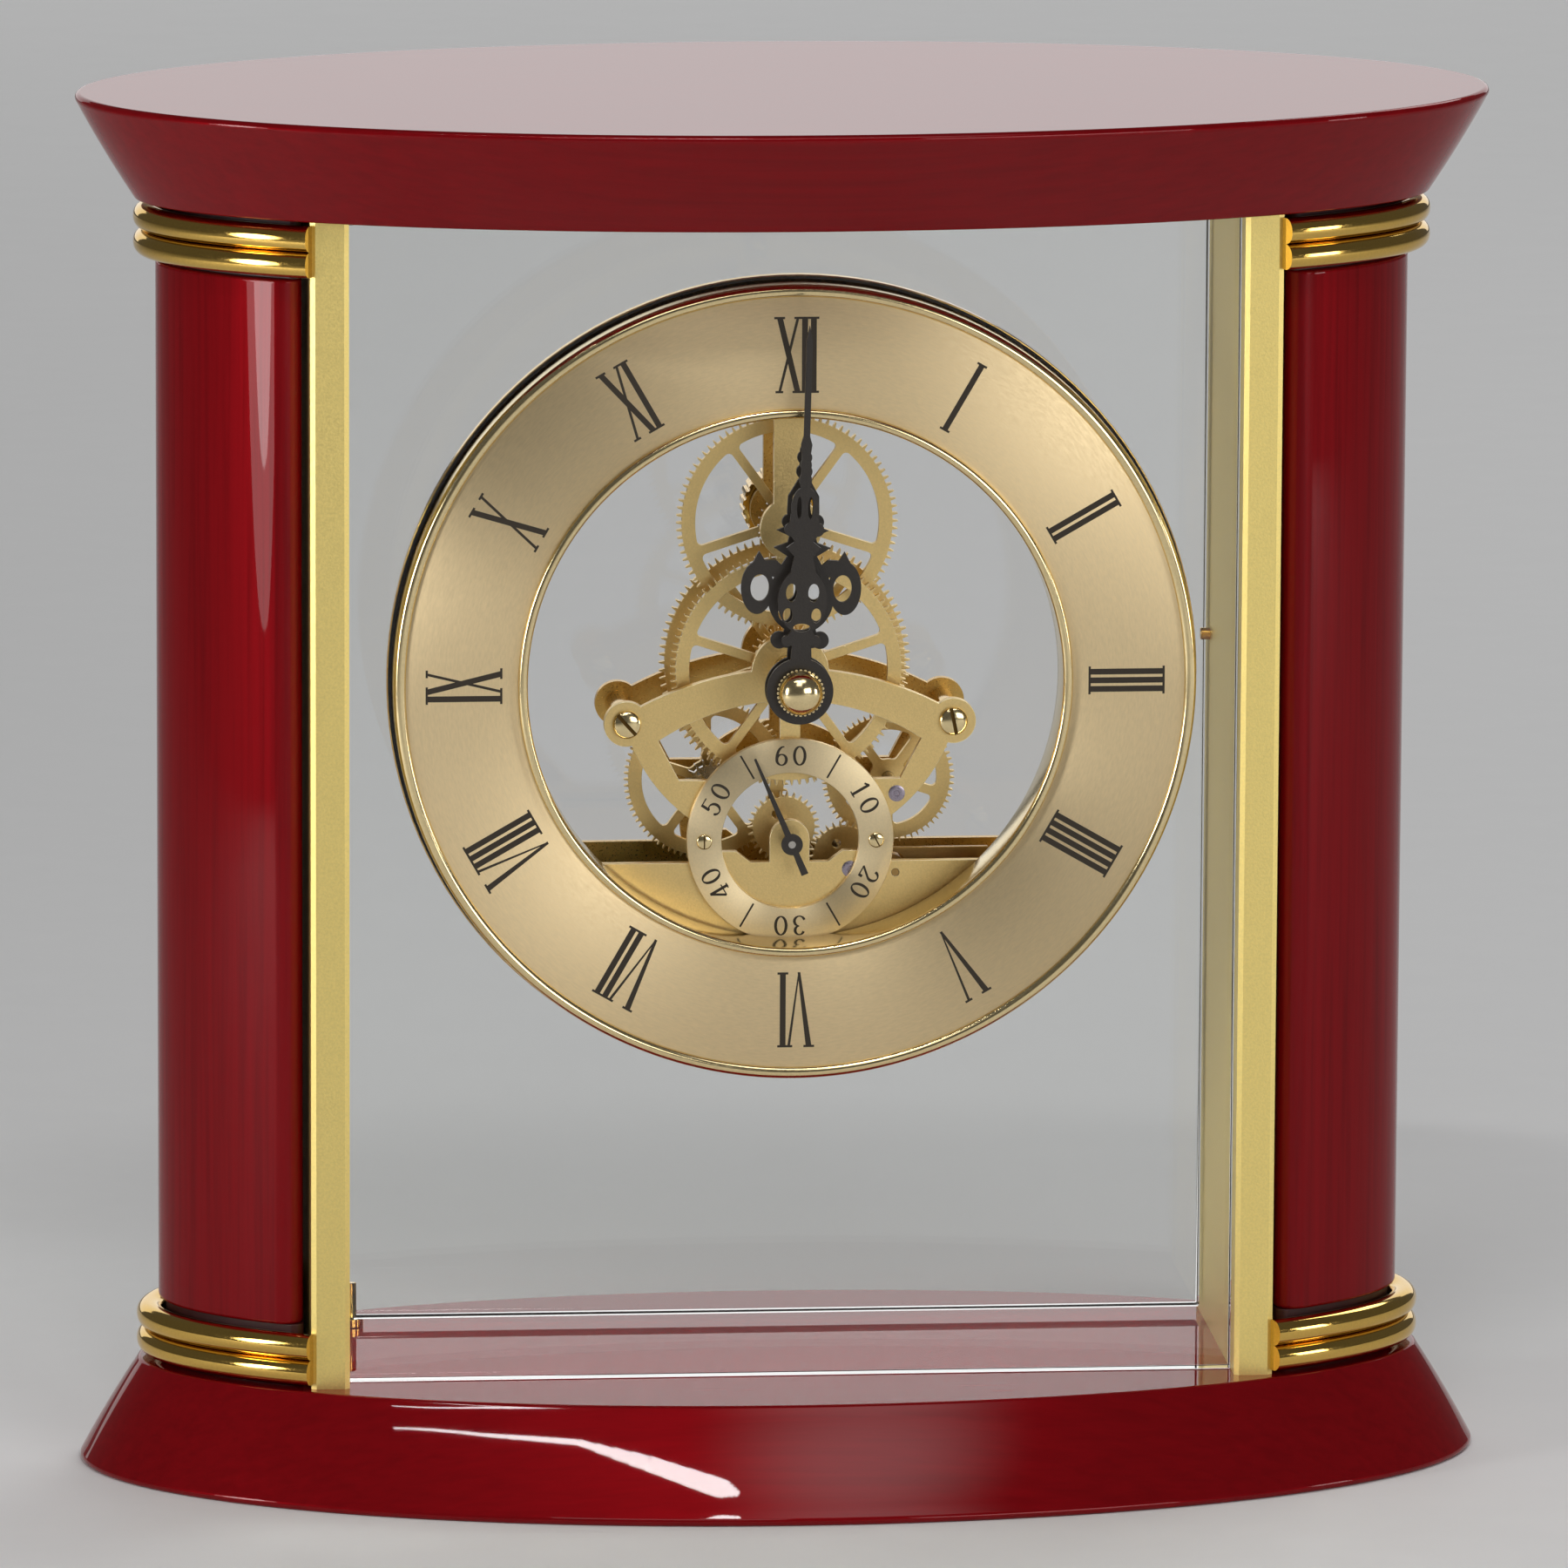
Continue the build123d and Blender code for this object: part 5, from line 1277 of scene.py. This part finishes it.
# %% Bobbin
coil_low, coil_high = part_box("motor_coil")
flange = 1.0 * mm
wire_radius = 0.11 * mm
coil_radius = 2.2 * mm
coil_turns = 40.0
coil_middle = (coil_low + coil_high) / 2
flange_bm = bmesh.new()
for x in (coil_low.x + flange / 2, coil_high.x - flange / 2):
    made = bmesh.ops.create_cube(flange_bm, size=1.0)["verts"]
    size = (flange, coil_high.y - coil_low.y, coil_high.z - coil_low.z)
    bmesh.ops.scale(flange_bm, vec=size, verts=made)
    bmesh.ops.translate(flange_bm, vec=(x, coil_middle.y, coil_middle.z), verts=made)
core = lathe([(0, -1), (1, -1), (1, 1), (0, 1)], origin, steps=32, loop=False)
bmesh.ops.rotate(core, verts=core.verts, matrix=Matrix.Rotation(math.pi / 2, 3, "Z"))
core_radius = coil_radius - 2 * wire_radius
core_half = (coil_high.x - coil_low.x) / 2 - flange
bmesh.ops.scale(core, verts=core.verts, vec=(core_half, core_radius, core_radius))
bmesh.ops.translate(core, verts=core.verts, vec=coil_middle)
bobbin = piece_from("coil_bobbin", joined(flange_bm, core), black_plastic)
settle(bobbin, "black_plastic", "motor_coil")

# %% Copper winding
wire_sizes = {"Turns": "Float", "Radius": "Float", "Length": "Float", "Wire": "Float"}
winding = Tree("wire_winding", **wire_sizes, Material="Material")
radius, length = winding.given("Radius"), winding.given("Length")
spiral = {"Resolution": 20, "Rotations": winding.given("Turns"), "Height": length}
helix = winding.node("GeometryNodeCurveSpiral", {**spiral, "Start Radius": radius, "End Radius": radius})
wire = winding.node("GeometryNodeCurvePrimitiveCircle", {"Resolution": 6, "Radius": winding.given("Wire")})
wound = winding.node("GeometryNodeCurveToMesh", {"Curve": helix, "Profile Curve": wire, "Fill Caps": True})
along_x = (0.0, math.pi / 2, 0.0)
winding.place(winding.node("GeometryNodeTransform", {"Geometry": wound, "Rotation": along_x}))
coil_start = (coil_low.x + flange, coil_middle.y, coil_middle.z)
coil = winding.run("copper_winding", points_mesh([coil_start]), Turns=coil_turns, Wire=wire_radius,
                   Radius=coil_radius - wire_radius, Length=2 * core_half, Material=copper_wire)
settle(coil, "copper_coil", body="case")

# %% [markdown]
# ## Stage
# The floor is plain and pale. Soft boxes light the clock as a product is lit: a tall oval at the left,
# brighter in its middle, draws the highlight down the left column; a small box at the right and a wide one
# at the front right give the dial its two sheens; one in front overhead fills the shadows; and two large
# ones behind are what the glossy top faces mirror. A lamp that fades out to its rim hangs high in front and
# leaves a soft glow on the base. Brightness is given for each bit of a lamp's area, so that a lamp can
# change size while its reflection stays as bright.

# %% Floor and world
floor_half = 8.0
floor_bm = bmesh.new()
bmesh.ops.create_grid(floor_bm, x_segments=1, y_segments=1, size=floor_half)
floor_paint = mottled("floor_paint", tint(244, 244, 244), 0.7, 40.0, 0.0, 0.97)
floor = piece_from("floor", floor_bm, floor_paint)
print("floor", 2 * floor_half, "m across")

world = bpy.data.worlds.new("studio")
world.use_nodes = True
world_grey = (0.1, 0.1, 0.1, 1.0)
world.node_tree.nodes["Background"].inputs["Color"].default_value = world_grey
world.node_tree.nodes["Background"].inputs["Strength"].default_value = 1.0
scene.world = world


# %% Lamps
def area_lamp(name, place, turn, shape, width, height, radiance):
    """A lamp of a given brightness; turn holds its own X and Y and, away from the clock, its Z."""
    data = bpy.data.lights.new(name, "AREA")
    data.shape = shape
    data.size = width
    data.size_y = height
    filled = math.pi / 4 if shape == "ELLIPSE" else 1.0
    data.energy = radiance * math.pi * width * height * filled
    lamp = bpy.data.objects.new(name, data)
    scene.collection.objects.link(lamp)
    lamp.matrix_world = Matrix.Translation(place) @ turn.to_4x4()
    lamp.visible_camera = False
    return lamp


def soft_box(name, aim, shape, bearing, lift, distance, width, height, radiance):
    """A lamp that looks at a point; bearing is degrees right of the front, lift is degrees above level."""
    b, e = math.radians(bearing), math.radians(lift)
    way = Vector((math.sin(b) * math.cos(e), -math.cos(b) * math.cos(e), math.sin(e)))
    turn = (-way).to_track_quat("-Z", "Y").to_matrix()
    return area_lamp(name, Vector(aim) + way * distance, turn, shape, width, height, radiance)


# %% A lamp that fades out
def fade_out(lamp):
    """Let a lamp's brightness fall off from its middle to its rim, as behind a scrim."""
    lamp.data.use_nodes = True
    nodes, links = lamp.data.node_tree.nodes, lamp.data.node_tree.links
    where = nodes.new("ShaderNodeNewGeometry")
    from_middle = nodes.new("ShaderNodeVectorMath")
    from_middle.operation = "SUBTRACT"
    from_middle.inputs[1].default_value = (0.5, 0.5, 0.0)
    reach = nodes.new("ShaderNodeVectorMath")
    reach.operation = "LENGTH"
    fall = nodes.new("ShaderNodeMapRange")
    fall.interpolation_type = "SMOOTHERSTEP"
    fall.inputs["From Max"].default_value = 0.5
    fall.inputs["To Min"].default_value = 1.0
    fall.inputs["To Max"].default_value = 0.0
    links.new(where.outputs["Parametric"], from_middle.inputs[0])
    links.new(from_middle.outputs["Vector"], reach.inputs[0])
    links.new(reach.outputs["Value"], fall.inputs["Value"])
    links.new(fall.outputs["Result"], nodes["Emission"].inputs["Strength"])


# %% Soft boxes
clock_aim = (0.0, 0.0, 0.12)
left_aim = (-0.08, 0.0, 0.2)
glow_aim = (0.014, -0.05, 0.012)
# Name, aim, shape, bearing, lift, distance, width, height and brightness
soft_boxes = (
    ("left_strip", left_aim, "ELLIPSE", -59.0, 0.0, 0.62, 0.16, 0.33, 5.0),
    ("left_core", left_aim, "ELLIPSE", -59.0, 0.0, 0.61, 0.1, 0.26, 12.5),
    ("right_box", clock_aim, "RECTANGLE", 67.0, 4.0, 1.1, 0.16, 0.28, 8.0),
    ("front_fill", clock_aim, "RECTANGLE", 28.0, 11.0, 1.7, 0.8, 0.5, 4.6),
    ("front_top", clock_aim, "RECTANGLE", -8.0, 40.0, 1.3, 0.45, 0.35, 2.2),
    ("back_box", clock_aim, "RECTANGLE", 180.0, 14.0, 2.6, 3.4, 1.2, 0.97),
    ("back_fill", clock_aim, "ELLIPSE", 140.0, 42.0, 1.8, 0.9, 0.7, 4.0),
)
for settings in soft_boxes:
    soft_box(*settings)
fade_out(soft_box("front_glow", glow_aim, "RECTANGLE", 17.0, 59.5, 1.0, 0.5, 0.42, 3.6))
print(len(bpy.data.lights), "soft boxes")

# %% [markdown]
# A bent row of thin tubes overhead draws the curved streak on the front of the base. The streak could be
# painted on, but a reflection moves with the view as on the real lacquer. The row's points are the places
# that the streak mirrors, from its thin end at the left to its broad end near the middle.

# %% Streak tubes
streak_path = [
    Vector((-0.475, -0.453, 0.828)),
    Vector((-0.32, -0.495, 0.865)),
    Vector((-0.19, -0.515, 0.883)),
    Vector((-0.106, -0.547, 0.875)),
    Vector((-0.017, -0.584, 0.854)),
    Vector((0.003, -0.592, 0.85)),
]
streak_widths = (0.002, 0.005, 0.01, 0.028, 0.036, 0.008)
streak_cuts = 4
streak_radiance = 55.0


def between(values, place):
    """The value at a place along a list, where whole numbers are its entries."""
    k = min(int(place), len(values) - 2)
    return values[k] + (values[k + 1] - values[k]) * (place - k)


streak_places = [k / streak_cuts for k in range((len(streak_path) - 1) * streak_cuts + 1)]
for first, second in zip(streak_places, streak_places[1:]):
    start, end = between(streak_path, first), between(streak_path, second)
    width = between(streak_widths, (first + second) / 2)
    along = (end - start).normalized()
    middle = (start + end) / 2
    away = (middle - along * middle.dot(along)).normalized()
    turn = Matrix((along, away.cross(along), away)).transposed()
    area_lamp("streak_tube", middle, turn, "RECTANGLE", (end - start).length, width, streak_radiance)
print(len(streak_places) - 1, "streak tubes")
